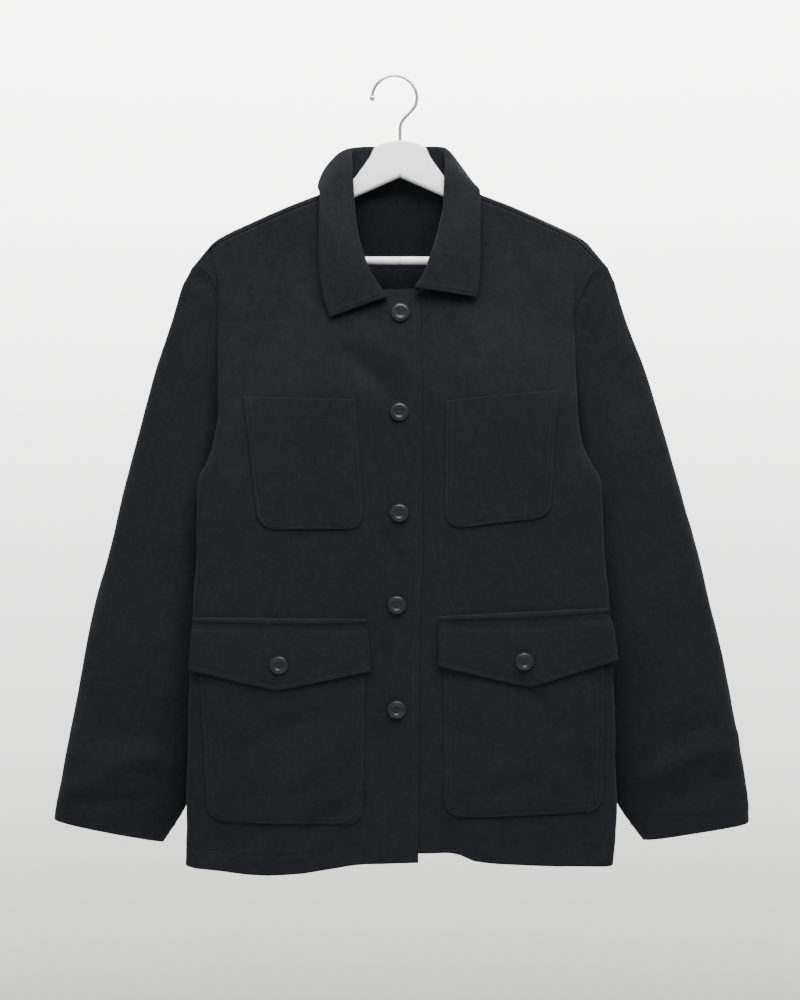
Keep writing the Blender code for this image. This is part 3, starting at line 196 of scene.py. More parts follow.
# The collar, a row for each place from the middle of the back to the front end: the seam at the
# neckline, the roll line, and the outer edge that lies on the shoulders.
COLLAR_BACK = table("seam roll edge",
    ((0, 17.8, -137), (0, 29, -75), (0, 33, -143)),
    ((30, 17.4, -136.5), (28, 27, -73.5), (40, 32, -142)),
    ((58, 13.4, -132.5), (46, 19, -76), (71, 26, -138.5)))
COLLAR_FRONT = {
    "right": table("seam roll edge",
        ((76, 5, -125), (55, 8, -81), (89, 9, -122)),
        ((80, -8.6, -129.3), (53, -9.4, -104), (87.5, -8, -127)),
        ((79, -13, -150), (51.5, -17.5, -140), (87, -20, -149)),
        ((75, -17, -177), (48, -25, -172), (87, -25, -177)),
        ((64, -21, -208), (40.5, -31, -201), (87, -27.5, -206)),
        ((44, -26, -234), (30, -34, -225), (84, -30, -237)),
        ((17, -29.5, -247.5), (14.5, -35, -246.5), (75.6, -34, -268))),
    "left": table("seam roll edge",
        ((76, 5, -125), (51, 8, -89), (85, 9, -128)),
        ((80, -8.6, -129.3), (50, -9.4, -107), (86.5, -8, -127)),
        ((79, -13, -150), (49, -17.5, -140), (87, -20, -149)),
        ((74, -17, -177), (43, -25, -172), (86.5, -25, -177)),
        ((63, -21, -206), (34.5, -31, -200), (86, -27.5, -206)),
        ((41, -26, -229), (26.5, -34, -222), (85, -30, -227)),
        ((18, -29.5, -238.5), (17.3, -35, -236.5), (82.3, -33, -246))),
}
COLLAR_LIFT = 0.8  # the least air between the collar and what it lies on

# Patch pockets by their corners, and the flaps by their edges.
PocketSize = namedtuple("PocketSize", "top_in top_out low_out low_in round_by crown")
CHEST_POCKET = {
    "right": PocketSize(Place(47.1, -358.2), Place(168.8, -355), Place(151, -496.4),
                        Place(38.5, -496.4), 17, 0.8),
    "left": PocketSize(Place(49.3, -359.3), Place(170, -347.5), Place(161, -485.2),
                       Place(47.5, -494.8), 17, 0.8),
}
LOWER_POCKET = {
    "right": PocketSize(Place(36.5, -612), Place(216, -612), Place(206, -809.4),
                        Place(39.5, -812), 18, 2.5),
    "left": PocketSize(Place(46.5, -612), Place(219, -608), Place(217, -800),
                       Place(47, -804), 18, 2.5),
}
FlapSize = namedtuple("FlapSize", "top_in top_out low_in low_out point")
FLAP = {
    "right": FlapSize(Place(36.2, -591.5), Place(220.7, -590.5), Place(31.1, -647.2),
                      Place(222.9, -647), Place(130.8, -668.4)),
    "left": FlapSize(Place(42.5, -588.7), Place(221.2, -580.2), Place(41.8, -642),
                     Place(228.5, -637), Place(137.2, -665.2)),
}
# Down the flap: how far its underside stands off the panel, the first rows making the tuck.
FLAP_ROWS = table("down lift",
    (0.0, 0.4), (0.03, 2.2), (0.07, 2.4), (0.11, 0.9), (0.2, 0.8), (0.3, 2.4), (0.6, 4.2),
    (1.0, 4.9))

FRONT_BUTTONS = table("x z",
    (0.4, -262.9), (-0.6, -370.7), (-0.6, -478.9), (-3.2, -577), (-3.4, -688.5))
FLAP_BUTTONS = {"right": Place(128.3, -640.6), "left": Place(131.8, -636.9)}

# The wooden hanger's outline, from the middle of its top to the middle of its underside.
WOOD = table("x z",
    (0, -70), (12, -71.5), (21, -74.5), (28.5, -78.8), (33, -88), (38, -95.5), (43.5, -103),
    (50, -111.5), (64, -122.9), (80, -129.6), (121, -145.6), (160, -163), (192, -179.2),
    (199, -184), (202, -190), (202, -203), (198, -209), (185, -209), (180, -205), (180, -196),
    (168, -184.5))
WOOD_APEX = -110.0


# --- creases, in each piece's own flat coordinates (x or round, z or down) -----------------------
class Side(Enum):
    """One of the jacket's two sides, from the wearer's view."""

    RIGHT = "right"
    LEFT = "left"

    @property
    def sign(self) -> float:
        """Which way x runs on this side."""
        return -1.0 if self is Side.RIGHT else 1.0


@dataclass(frozen=True)
class Crease:
    """One soft trough or ridge: its path, its half width and how far it stands out (or in)."""

    path: tuple[tuple[float, float], ...]
    width: float
    depth: float


def creases(*rows: tuple) -> tuple[Crease, ...]:
    """Creases from their paths, half widths and depths."""
    return tuple(Crease(*row) for row in rows)


FRONT_CREASES = {
    Side.RIGHT: creases(
        (((110, -172), (124, -208), (143, -283), (170, -346), (198, -382)), 13, -3.4),
        (((158, -214), (168, -262), (184, -316)), 13, 1.9),
        (((104, -236), (112, -282), (132, -330)), 16, 1.2),
        (((66, -300), (42, -320), (20, -340), (0, -366)), 10, -4.7),
        (((44, -282), (20, -300), (-4, -318), (-22, -336)), 11, 3.3),
        (((66, -372), (44, -390), (28, -420), (20, -468)), 13, -1.8),
        (((34, -484), (14, -510), (-12, -544)), 9, -2.2),
        (((30, -600), (20, -634), (26, -676)), 10, -2.0),
        (((176, -512), (192, -545), (210, -590)), 9, -2.4),
        (((204, -424), (176, -452), (164, -520)), 17, 2.2),
        (((120, -380), (108, -430), (116, -480)), 18, -1.4),
        (((170, -740), (142, -717), (110, -703), (78, -696)), 12, -3.4),
        (((128, -790), (104, -756), (64, -716)), 15, 2.6),
        (((112, -832), (92, -816), (62, -796), (36, -782)), 11, -3.8),
        (((70, -776), (52, -752), (36, -730)), 9, -2.4),
        (((140, -900), (142, -830), (152, -770)), 40, 4.2),
        (((66, -900), (52, -850), (40, -800)), 26, -3.0),
        (((198, -900), (194, -800), (188, -700)), 18, -2.2),
        (((10, -700), (14, -760), (6, -830)), 15, -1.4),
    ),
    Side.LEFT: creases(
        (((116, -178), (132, -214), (156, -286), (172, -352)), 13, -2.9),
        (((96, -204), (108, -256), (128, -312)), 15, 1.5),
        (((182, -220), (184, -266), (190, -318)), 10, 1.4),
        (((36, -254), (62, -292), (102, -330)), 14, -1.6),
        (((34, -370), (50, -404), (58, -452)), 12, -1.8),
        (((100, -376), (120, -410), (126, -470)), 17, -1.8),
        (((206, -414), (192, -446), (184, -500)), 14, 2.4),
        (((206, -470), (178, -506), (150, -556)), 14, -2.0),
        (((40, -500), (58, -540), (50, -590)), 16, -1.8),
        (((126, -655), (144, -684), (178, -722)), 11, -2.6),
        (((40, -706), (66, -712), (98, -728)), 12, -2.2),
        (((84, -780), (120, -772), (164, -760)), 7, -1.6),
        (((92, -762), (120, -750), (150, -742)), 10, 1.6),
        (((54, -900), (50, -840), (44, -780)), 20, -3.6),
        (((112, -900), (112, -830), (104, -720)), 32, 3.2),
        (((196, -900), (190, -800), (180, -700)), 22, -2.4),
    ),
}
BACK_CREASES = {
    Side.RIGHT: creases(
        (((10, -160), (40, -210), (60, -300)), 22, -2.6),
        (((150, -230), (130, -330), (96, -460)), 24, -3.8),
        (((196, -420), (160, -470), (120, -540)), 18, -3.4),
        (((60, -900), (66, -760), (52, -600)), 34, 3.4),
        (((132, -900), (128, -770), (140, -620)), 30, -3.4),
        (((190, -900), (196, -780), (182, -640)), 24, 2.2),
    ),
    Side.LEFT: creases(
        (((14, -165), (36, -230), (44, -320)), 20, -2.2),
        (((160, -240), (128, -320), (110, -440)), 22, -3.3),
        (((200, -430), (166, -490), (118, -530)), 17, -3.6),
        (((42, -900), (50, -780), (70, -640)), 32, -3.0),
        (((104, -900), (110, -760), (96, -600)), 30, 3.2),
        (((176, -900), (168, -790), (190, -660)), 26, -2.6),
    ),
}
# On the sleeves the first number goes round, 150 at the inner edge, 225 behind, 300 at the outer
# edge and 375 in front; the second goes down from the armhole.
SLEEVE_CREASES = {
    Side.RIGHT: creases(
        (((352, 30), (376, 110), (384, 190), (380, 250), (388, 330)), 15, -3.4),
        (((322, 60), (338, 150), (340, 240)), 16, 1.6),
        (((322, 330), (346, 372), (352, 430)), 14, -2.0),
        (((320, 530), (343, 517), (366, 484), (392, 464), (424, 478)), 13, -4.2),
        (((344, 470), (368, 448), (398, 430)), 12, 2.0),
        (((340, 546), (372, 530), (404, 512)), 12, 2.2),
        (((312, 486), (330, 480), (348, 470)), 9, -1.8),
        (((176, 240), (214, 300), (262, 330)), 14, -3.4),
        (((190, 400), (226, 440), (274, 452)), 13, -3.2),
        (((170, 470), (210, 498), (262, 490)), 11, -3.0),
        (((262, 60), (240, 150), (246, 230)), 14, -2.4),
    ),
    Side.LEFT: creases(
        (((372, 40), (388, 110), (396, 190)), 13, -3.0),
        (((344, 60), (352, 120), (350, 176)), 14, 2.0),
        (((350, 180), (357, 250), (366, 300), (374, 380)), 15, -2.8),
        (((392, 300), (398, 360), (392, 420)), 13, 1.8),
        (((314, 474), (332, 476), (356, 470), (384, 482), (410, 500)), 12, -4.0),
        (((326, 452), (352, 446), (384, 452)), 12, 2.0),
        (((330, 506), (354, 508), (388, 524)), 12, 2.2),
        (((306, 466), (318, 462), (334, 460)), 7, -2.2),
        (((180, 250), (220, 292), (266, 316)), 14, -3.2),
        (((184, 420), (230, 452), (270, 446)), 12, -3.4),
        (((258, 70), (244, 160), (250, 240)), 13, -2.4),
    ),
}


def crease_lift(u: Array, v: Array, creases: Sequence[Crease]) -> Array:
    """How far the creases move the cloth out at each point.

    Args:
        u: first flat coordinate of each point.
        v: second flat coordinate of each point.
        creases: the creases that cross the piece.

    Returns:
        Millimetres along the outward normal, of the same shape as u.
    """
    u, v = np.broadcast_arrays(np.asarray(u, float), np.asarray(v, float))
    lift = np.zeros(u.shape)
    for crease in creases:
        length = np.linalg.norm(np.diff(np.array(crease.path, float), axis=0), axis=1).sum()
        count = max(CREASE_LEAST, int(length / (CREASE_STEP * crease.width)))
        shares = np.linspace(*CREASE_ENDS, count)
        path = along_path(crease.path, shares)
        reach = 3 * crease.width
        near = ((u > path[:, 0].min() - reach) & (u < path[:, 0].max() + reach)
                & (v > path[:, 1].min() - reach) & (v < path[:, 1].max() + reach))
        away = np.hypot(u[near][:, None] - path[:, 0], v[near][:, None] - path[:, 1])
        strength = np.sin(np.pi * shares) ** CREASE_FADE * np.exp(-((away / crease.width) ** 2))
        crowd = crease.width * math.sqrt(math.pi / CREASE_BLEND) * len(shares) / length
        together = ((strength**CREASE_BLEND).sum(axis=1) / crowd) ** (1 / CREASE_BLEND)
        lift[near] += crease.depth * together
    return lift


def share_of(value: Array, start: float, end: float) -> Array:
    """Share of the way from start to end, no less than 0 and no more than 1."""
    return np.clip((value - start) / (end - start), 0, 1)


def ripple(u: Array, v: Array, size: float, seed: int) -> Array:
    """A smooth uneven field between about -1 and 1.

    Args:
        u: first flat coordinate.
        v: second flat coordinate.
        size: the usual distance from one rise to the next.
        seed: which field.

    Returns:
        The field's value at each point.
    """
    pick = np.random.default_rng(seed)
    total = np.zeros(np.broadcast(u, v).shape)
    for _ in range(RIPPLE_WAVES):
        angle = pick.uniform(0, 2 * np.pi)
        pace = 2 * np.pi / (size * pick.uniform(*RIPPLE_SPREAD))
        along = u * np.cos(angle) + v * np.sin(angle)
        total += np.sin(pace * along + pick.uniform(0, 2 * np.pi))
    return total / RIPPLE_WAVES * RIPPLE_STRENGTH


# --- tools -------------------------------------------------------------------------------------
def smooth_value(at: Array, places: Sequence[float], values: Sequence[float]) -> Array:
    """A smooth curve through the values at rising places, read where asked (no overshoot)."""
    places = np.asarray(places, float)
    values = np.asarray(values, float)
    at = np.clip(np.asarray(at, float), places[0], places[-1])
    steps = np.diff(places)
    slopes = np.diff(values) / steps
    tangents = np.zeros(len(places))
    tangents[0], tangents[-1] = slopes[0], slopes[-1]
    same_way = slopes[:-1] * slopes[1:] > 0
    mean = 2 * slopes[:-1] * slopes[1:] / np.where(same_way, slopes[:-1] + slopes[1:], 1.0)
    tangents[1:-1] = np.where(same_way, mean, 0.0)
    i = np.clip(np.searchsorted(places, at, side="right") - 1, 0, len(steps) - 1)
    s = (at - places[i]) / steps[i]
    return (
        values[i] * (1 + 2 * s) * (1 - s) ** 2
        + values[i + 1] * s * s * (3 - 2 * s)
        + steps[i] * s * (1 - s) * (tangents[i] * (1 - s) - tangents[i + 1] * s)
    )


def column(rows: Sequence, name: str) -> list[float]:
    """One named column of a table."""
    return [getattr(row, name) for row in rows]


def read_table(rows: Sequence, by: str, name: str, at: Array) -> Array:
    """A table's column as a smooth function of another of its columns."""
    return smooth_value(at, column(rows, by), column(rows, name))


def ease(value: Array, start: float, end: float) -> Array:
    """0 before start, 1 after end, smooth between."""
    s = share_of(np.asarray(value, float), start, end)
    return s * s * (3 - 2 * s)


def bezier(p0: Array, p1: Array, p2: Array, p3: Array, s: Array) -> Array:
    """A cubic curve's points; the last axis of each control point is x, y, z."""
    s = np.asarray(s, float)[..., None]
    return (1 - s) ** 3 * p0 + 3 * s * (1 - s) ** 2 * p1 + 3 * s * s * (1 - s) * p2 + s**3 * p3


def along_path(points: Sequence, share: Array) -> Array:
    """Points at the given shares of a smooth path's length."""
    points = np.asarray(points, float)
    lengths = np.concatenate([[0], np.cumsum(np.linalg.norm(np.diff(points, axis=0), axis=1))])
    return np.stack([smooth_value(np.asarray(share) * lengths[-1], lengths, points[:, k])
                     for k in range(points.shape[1])], axis=-1)


def unit(vectors: Array) -> Array:
    """The same directions, each of length one."""
    return vectors / np.maximum(np.linalg.norm(vectors, axis=-1, keepdims=True), TINY)


def face_normals(grid: Array, turn: bool) -> Array:
    """Each point's direction out of the cloth, from its neighbours on the grid."""
    out = np.cross(np.gradient(grid, axis=1), np.gradient(grid, axis=0))
    for axis, reach in ((0, 3), (1, 1)):
        # Thin cells count less than full ones.
        pad = [(0, 0), (0, 0), (0, 0)]
        pad[axis] = (reach, reach)
        padded = np.pad(out, pad, mode="edge")
        count = out.shape[axis]
        out = sum(np.take(padded, np.arange(k, k + count), axis=axis)
                  for k in range(2 * reach + 1))
    return -unit(out) if turn else unit(out)


def closer_to_ends(count: int, power: float = 1.0) -> Array:
    """Shares from 0 to 1 that lie closer together towards both ends."""
    even = np.linspace(0, 1, count)
    close = (1 - np.cos(np.pi * even)) / 2
    return even + (close - even) * power


# --- the body's form ---------------------------------------------------------------------------
@dataclass
class BodyForm:
    """The hanging body: how far its front and back stand from the hanger's plane."""

    front_arch: float = FRONT_ARCH
    back_arch: float = BACK_ARCH
    soft_size: float = 95.0
    soft_depth: float = 1.1
    crumple_size: float = 26.0
    crumple_depth: float = 0.32
    seam_calm: float = 14.0
    slope_step: float = 0.4

    @staticmethod
    def ridge_height(x: Array) -> Array:
        """Height of the shoulders' top edge."""
        return read_table(RIDGE, "x", "z", np.abs(x))

    @staticmethod
    def fold_strength(z: Array) -> Array:
        """The edge is a crease at the shoulder and a full fold from the upper chest down."""
        return 1 - ease(z, *FOLD_HEIGHTS)

    def below_ridge(self, depth: Array, x: Array, z: Array, ramp: float) -> Array:
        """A panel's depth, brought in to the round of the hanger's edge near the shoulder."""
        down = self.ridge_height(x) - z
        near = np.clip(down, 0, RIDGE_RADIUS) / RIDGE_RADIUS
        over_edge = RIDGE_RADIUS * np.sqrt(np.clip(1 - (1 - near) ** 2, 0, 1))
        reached = np.sin(np.pi / 2 * np.clip((down - RIDGE_RADIUS) / ramp, 0, 1))
        return over_edge + (depth - RIDGE_RADIUS) * reached

    def panel_depth(self, x: Array, z: Array, fold: Array, middle: Array,
                    arch: float, ramp: float) -> Array:
        """How far a panel stands from the hanger's plane, at |x| up to its folded edge."""
        x = np.minimum(np.abs(x), fold)
        into_fold = np.clip((x - fold + FOLD_WIDTH) / FOLD_WIDTH, 0, 1)
        rounding = FOLD_DEPTH * self.fold_strength(z) * (1 - np.sqrt(1 - into_fold**2))
        return self.below_ridge(middle - arch * (x / fold) ** 2 - rounding, x, z, ramp)

    @staticmethod
    def front_fold(z: Array, side: Side) -> Array:
        """x of the front's folded edge."""
        return read_table(BODY, "z", "fold_" + side.value, z)

    def front_depth(self, x: Array, z: Array, side: Side) -> Array:
        """Depth of the front at x measured out from the middle; negative x is past it."""
        middle = read_table(BODY, "z", "front_depth", z)
        depth = self.panel_depth(x, z, self.front_fold(z, side), middle, self.front_arch,
                                 FRONT_RAMP)
        if side is Side.LEFT:
            depth = depth - UNDERLAP * (1 - ease(x, UNDERLAP_FROM, UNDERLAP_TO))
        return depth

    def back_depth(self, x: Array, z: Array) -> Array:
        """Depth of the back."""
        middle = read_table(BODY, "z", "back_depth", z)
        fold = read_table(BODY, "z", "back_fold", z)
        return self.panel_depth(x, z, fold, middle, self.back_arch, BACK_RAMP)

    def front_drape(self, x: Array, z: Array, side: Side) -> Array:
        """How far the front's own creases and softness move it out; the lap shares the right's."""
        calm = ease(self.ridge_height(x) - z, *SHOULDER_CALM)
        soft = self.soft_depth * ripple(x, z, self.soft_size, PANEL_SEEDS[side.value][0])
        small = self.crumple_depth * ripple(x, z, self.crumple_size, CRUMPLE_SEED)
        own = calm * (soft + small + crease_lift(x, z, FRONT_CREASES[side]))
        if side is Side.RIGHT:
            return own
        return own + (self.front_drape(-x, z, Side.RIGHT) - own) * (1 - ease(x, *LAP_SHARED))

    def back_drape(self, x: Array, z: Array, side: Side) -> Array:
        """The same for the back."""
        calm = ease(self.ridge_height(x) - z, *SHOULDER_CALM) * ease(x, 0, self.seam_calm)
        soft = self.soft_depth * ripple(x, z, self.soft_size, PANEL_SEEDS[side.value][1])
        return calm * (soft + crease_lift(x, z, BACK_CREASES[side]))

    def front_point(self, x: Array, z: Array, side: Side, lift: Array | float = 0.0) -> Array:
        """Points on the draped front, moved out by lift along its plain form's normal.

        Args:
            x: distance from the middle towards the side.
            z: height.
            side: which front.
            lift: how far out of the cloth.

        Returns:
            Points in millimetres; the last axis is x, y, z.
        """
        x, z = np.broadcast_arrays(np.asarray(x, float), np.asarray(z, float))
        step = self.slope_step
        depth = self.front_depth(x, z, side)
        slope_x = (depth - self.front_depth(x - step, z, side)) / step
        slope_z = (self.front_depth(x, z + step, side)
                   - self.front_depth(x, z - step, side)) / (2 * step)
        normal = unit(np.stack([-slope_x, -np.ones_like(x), -slope_z], axis=-1))
        out = np.asarray(lift, float) + self.front_drape(x, z, side)
        points = np.stack([x, -depth, z], axis=-1) + normal * out[..., None]
        points[..., 0] *= side.sign
        return points


FORM = BodyForm()


def across_panel(start: Array, fold_x: Array, place: Array) -> Array:
    """x from a row's start to its fold, the last fifth of the places round the fold's tip."""
    straight = np.clip(place / FOLD_PLACE, 0, 1)
    tip = np.sin(np.pi / 2 * np.clip((place - FOLD_PLACE) / FOLD_SPAN, 0, 1))
    return start + (fold_x - FOLD_WIDTH - start) * straight + FOLD_WIDTH * tip


def folded_back(tip: Array, seam: Array, strength: Array, place: Array) -> Array:
    """The cloth behind the fold, from the fold's tip to the seam."""
    reach = seam - tip
    deep, out = np.abs(reach[..., 1:2]), np.sign(reach[..., 1:2])
    ahead, inward, level = out * [0, 1, 0], np.array([-1, 0, 0]), reach * [0, 0, FOLD_LEVEL]
    k = strength[..., None]
    first = (tip + reach / 3) * (1 - k) + k * (tip + ahead * FOLD_REACH * deep + level)
    tucked = seam - ahead * FOLD_TUCK[0] * deep + inward * FOLD_TUCK[1] * deep - level
    second = (tip + 2 * reach / 3) * (1 - k) + k * tucked
    return bezier(tip, first, second, seam, place)


@dataclass
class PanelRows:
    """The rows of a front or half back, from the hem up to the shoulder, at |x|."""

    across: Array
    up: Array
    neck: Sequence[Place]
    neck_row: float
    top_row: float
    armhole: Array
    fold: Callable[[Array], Array]
    drop: float = 0.0
    is_low: Array = field(init=False)
    place: Array = field(init=False)
    on_edge_z: Array = field(init=False)
    fold_z: Array = field(init=False)

    def __post_init__(self) -> None:
        """Find which rows lie below the underarm, and the edge's height at the others."""
        self.is_low = self.up <= UNDERARM_ROW
        self.place = np.clip(self.across, 0, 1)
        self.on_edge_z = (UNDERARM + (self.neck[0].z - UNDERARM)
                          * share_of(self.up, UNDERARM_ROW, self.neck_row))

    def above(self, edge_x: Array) -> tuple[Array, Array]:
        """x and z above the underarm, and fold_z there, for rows from the edge or neckline."""
        top = share_of(self.up, self.neck_row, self.top_row)
        on_neck = along_path(self.neck, top)
        start_x = np.where(top > 0, on_neck[..., 0], edge_x)
        start_z = np.where(top > 0, on_neck[..., 1], self.on_edge_z)
        shoulder = ease(self.up, UNDERARM_ROW, self.top_row)
        fold_z = start_z + (self.armhole[..., 2] - start_z) * FOLD_DROP
        on_ridge = FORM.ridge_height(self.fold(fold_z)) - self.drop
        self.fold_z = fold_z + (on_ridge - fold_z) * shoulder**3
        fold_x = self.fold(self.fold_z)
        x = across_panel(start_x, fold_x, self.place)
        share = (x - start_x) / (fold_x - start_x)
        ridge_start = FORM.ridge_height(np.maximum(start_x, 0))
        ridge_share = ((FORM.ridge_height(np.maximum(x, 0)) - ridge_start)
                       / (FORM.ridge_height(fold_x) - ridge_start))
        drop = share**ROW_BEND + (ridge_share - share**ROW_BEND) * shoulder
        return x, start_z + (self.fold_z - start_z) * drop

    def behind(self, points: Array, z: Array) -> Array:
        """The points, those past the fold put on the cloth behind it, at the rows' heights."""
        side_seam = np.stack([read_table(BODY, "z", "seam_x", z), np.zeros_like(z), z], axis=-1)
        seam = np.where(self.is_low[..., None], side_seam, self.armhole)
        strength = np.where(self.is_low, 1.0, FORM.fold_strength(self.fold_z))
        behind = folded_back(points, seam, strength, np.clip(self.across - 1, 0, 1))
        return np.where((self.across > 1)[..., None], behind, points)


def front_grid(side: Side, across: Array, up: Array) -> Array:
    """The front as a grid of points.

    Args:
        side: which front.
        across: places from 0 at the free edge to 1 at the fold and 2 at the seam.
        up: places from 0 at the hem to 0.5 at the underarm and 1 at the shoulder seam.

    Returns:
        Points in millimetres, a row for each place in up.
    """
    up, across = np.meshgrid(up, across, indexing="ij")
    down_armhole = 1 - share_of(up, UNDERARM_ROW, 1) * (1 - ARMHOLE_START)
    rows = PanelRows(across, up, NECKLINE[side.value], CORNER_ROW, 1.0,
                     along_path(ARMHOLE_FRONT, down_armhole),
                     lambda height: FORM.front_fold(height, side), SEAM_DROP)

    def edge_x(height: Array) -> Array:
        """The free edge's x at a height."""
        return (read_table(FRONT_EDGE, "z", "x", height) if side is Side.RIGHT
                else np.full_like(height, UNDER_EDGE))

    x, z = rows.above(edge_x(rows.on_edge_z))

    # Below the underarm the rows spread from there down to the hem.
    hem = read_table(HEM[side.value], "x", "z", x)
    hem = np.where(across > 1, hem + (HEM_SIDE - hem) * (across - 1), hem)
    below = UNDERARM + (hem - UNDERARM) * (1 - share_of(up, 0, UNDERARM_ROW))
    x_below = across_panel(edge_x(below), rows.fold(below), rows.place)
    x, z = np.where(rows.is_low, x_below, x), np.where(rows.is_low, below, z)
    points = FORM.front_point(x, z, side)
    points[..., 0] *= side.sign
    points = rows.behind(points, z)
    points[..., 0] *= side.sign
    return points


def back_grid(side: Side, across: Array, up: Array) -> Array:
    """One half of the back, laid out as the front is; its last rows pass over the ridge.

    Args:
        side: which half.
        across: places from 0 at the middle seam to 1 at the fold and 2 at the side seam.
        up: places from 0 at the hem to 0.9 on the ridge and 1 at the shoulder seam.

    Returns:
        Points in millimetres, a row for each place in up.
    """
    to_seam = front_grid(side, across, np.array([1.0]))
    to_seam[..., 0] *= side.sign
    up, across = np.meshgrid(up, across, indexing="ij")
    rows = PanelRows(across, up, BACK_NECKLINE, NECK_ROW, RIDGE_ROWS,
                     along_path(ARMHOLE_BACK, 1 - share_of(up, UNDERARM_ROW, RIDGE_ROWS)),
                     lambda height: read_table(BODY, "z", "back_fold", height))
    x, z = rows.above(np.zeros_like(up))
    below = UNDERARM + (HEM_SIDE - UNDERARM) * (1 - share_of(up, 0, UNDERARM_ROW))
    x = np.where(rows.is_low, across_panel(0.0, rows.fold(below), rows.place), x)
    z = np.where(rows.is_low, below, z)
    over = share_of(up, RIDGE_ROWS, 1)
    draped = FORM.back_depth(x, z) + FORM.back_drape(x, z, side) * (1 - ease(over, 0, 0.1))
    points = rows.behind(np.stack([x, draped, z], axis=-1), z)

    # Over the ridge, from its top to the front's shoulder edge.
    turn = np.pi / 2 * over
    x_over = points[..., 0] + (to_seam[..., 0] - points[..., 0]) * over
    ridge_z = np.where(across > 1, points[..., 2], FORM.ridge_height(points[..., 0]))
    ridge = np.stack([x_over, to_seam[..., 1] * np.sin(turn),
                      ridge_z + (to_seam[..., 2] - ridge_z) * (1 - np.cos(turn))], axis=-1)
    points = np.where((over > 0)[..., None], ridge, points)
    points[..., 0] *= side.sign
    return points


# --- sleeves, collar, pockets and flaps ----------------------------------------------------------
@dataclass
class SleeveForm:
    """One sleeve as rings from the armhole down to the cuff."""

    side: Side
    egg: float = SLEEVE_EGG
    square: float = SLEEVE_SQUARE
    length: float = 590.0
    girth: float = 300.0
    joins_over: float = 0.22
    seam_calm: float = 0.07  # of the way round, beside the underarm seam
    top_calm: float = 26.0
    soft: tuple[tuple[float, float], ...] = ((1.1, 80), (0.25, 24))  # depth and size
    seeds: ClassVar[dict[str, int]] = {"right": 59, "left": 53}

    def ring_place(self, around: Array) -> tuple[Array, Array]:
        """Places on a ring: from inner to outer edge, and from front to back."""
        cosine, sine = np.cos(2 * np.pi * around), np.sin(2 * np.pi * around)
        power = 2 / self.square
        return np.sign(cosine) * np.abs(cosine) ** power, -np.sign(sine) * np.abs(sine) ** power

    def ring(self, around: Array, sizes: dict[str, Array]) -> Array:
        """Points of rings with the sizes given, on the positive side."""
        lengthwise, depthwise = self.ring_place(around)
        zero = np.zeros_like(lengthwise)
        outer, inner = (np.stack([zero + sizes[end + "_x"], zero, zero + sizes[end + "_z"]],
                                 axis=-1) for end in ("outer", "inner"))
        points = (outer + inner) / 2 + (outer - inner) / 2 * lengthwise[..., None]
        points[..., 1] += sizes["half_depth"] * (1 + self.egg * lengthwise) * depthwise
        return points

    def grid(self, around: Array, down: Array) -> Array:
        """The sleeve's points.

        Args:
            around: places from 0.5 at the underarm seam, behind and over to the front, to 1.5.
            down: places from 0 at the armhole to 1 at the cuff.

        Returns:
            Points in millimetres, a row for each place in down.
        """
        rows = SLEEVE[self.side.value]
        down, around = np.meshgrid(down, around, indexing="ij")
        place = np.linspace(0, 1, len(rows))
        sizes = {name: smooth_value(down, place, column(rows, name)) for name in rows[0]._fields}
        points = self.ring(around, sizes)
        at_armhole = around % 1.0
        share = 1 - np.abs(1 - 2 * at_armhole)
        sewn = np.where((at_armhole > 0.5)[..., None], along_path(ARMHOLE_BACK, share),
                        along_path(ARMHOLE_FRONT, share))
        plain = self.ring(around, rows[0]._asdict())
        fade = (1 - np.clip(down / self.joins_over, 0, 1)) ** 2
        points = points + (sewn - plain) * fade[..., None]
        points[..., 0] *= self.side.sign
        return points

    def drape(self, around: Array, down: Array) -> Array:
        """How far the creases and softness move the cloth out."""
        down, around = np.meshgrid(down, around, indexing="ij")
        u, v = around * self.girth, down * self.length
        soft = sum(depth * ripple(u, v, size, self.seeds[self.side.value] + k)
                   for k, (depth, size) in enumerate(self.soft))
        seam = self.seam_calm
        calm = (ease(around, 0.5, 0.5 + seam) * (1 - ease(around, 1.5 - seam, 1.5))
                * ease(v, 0, self.top_calm))
        return calm * (soft + crease_lift(u, v, SLEEVE_CREASES[self.side]))


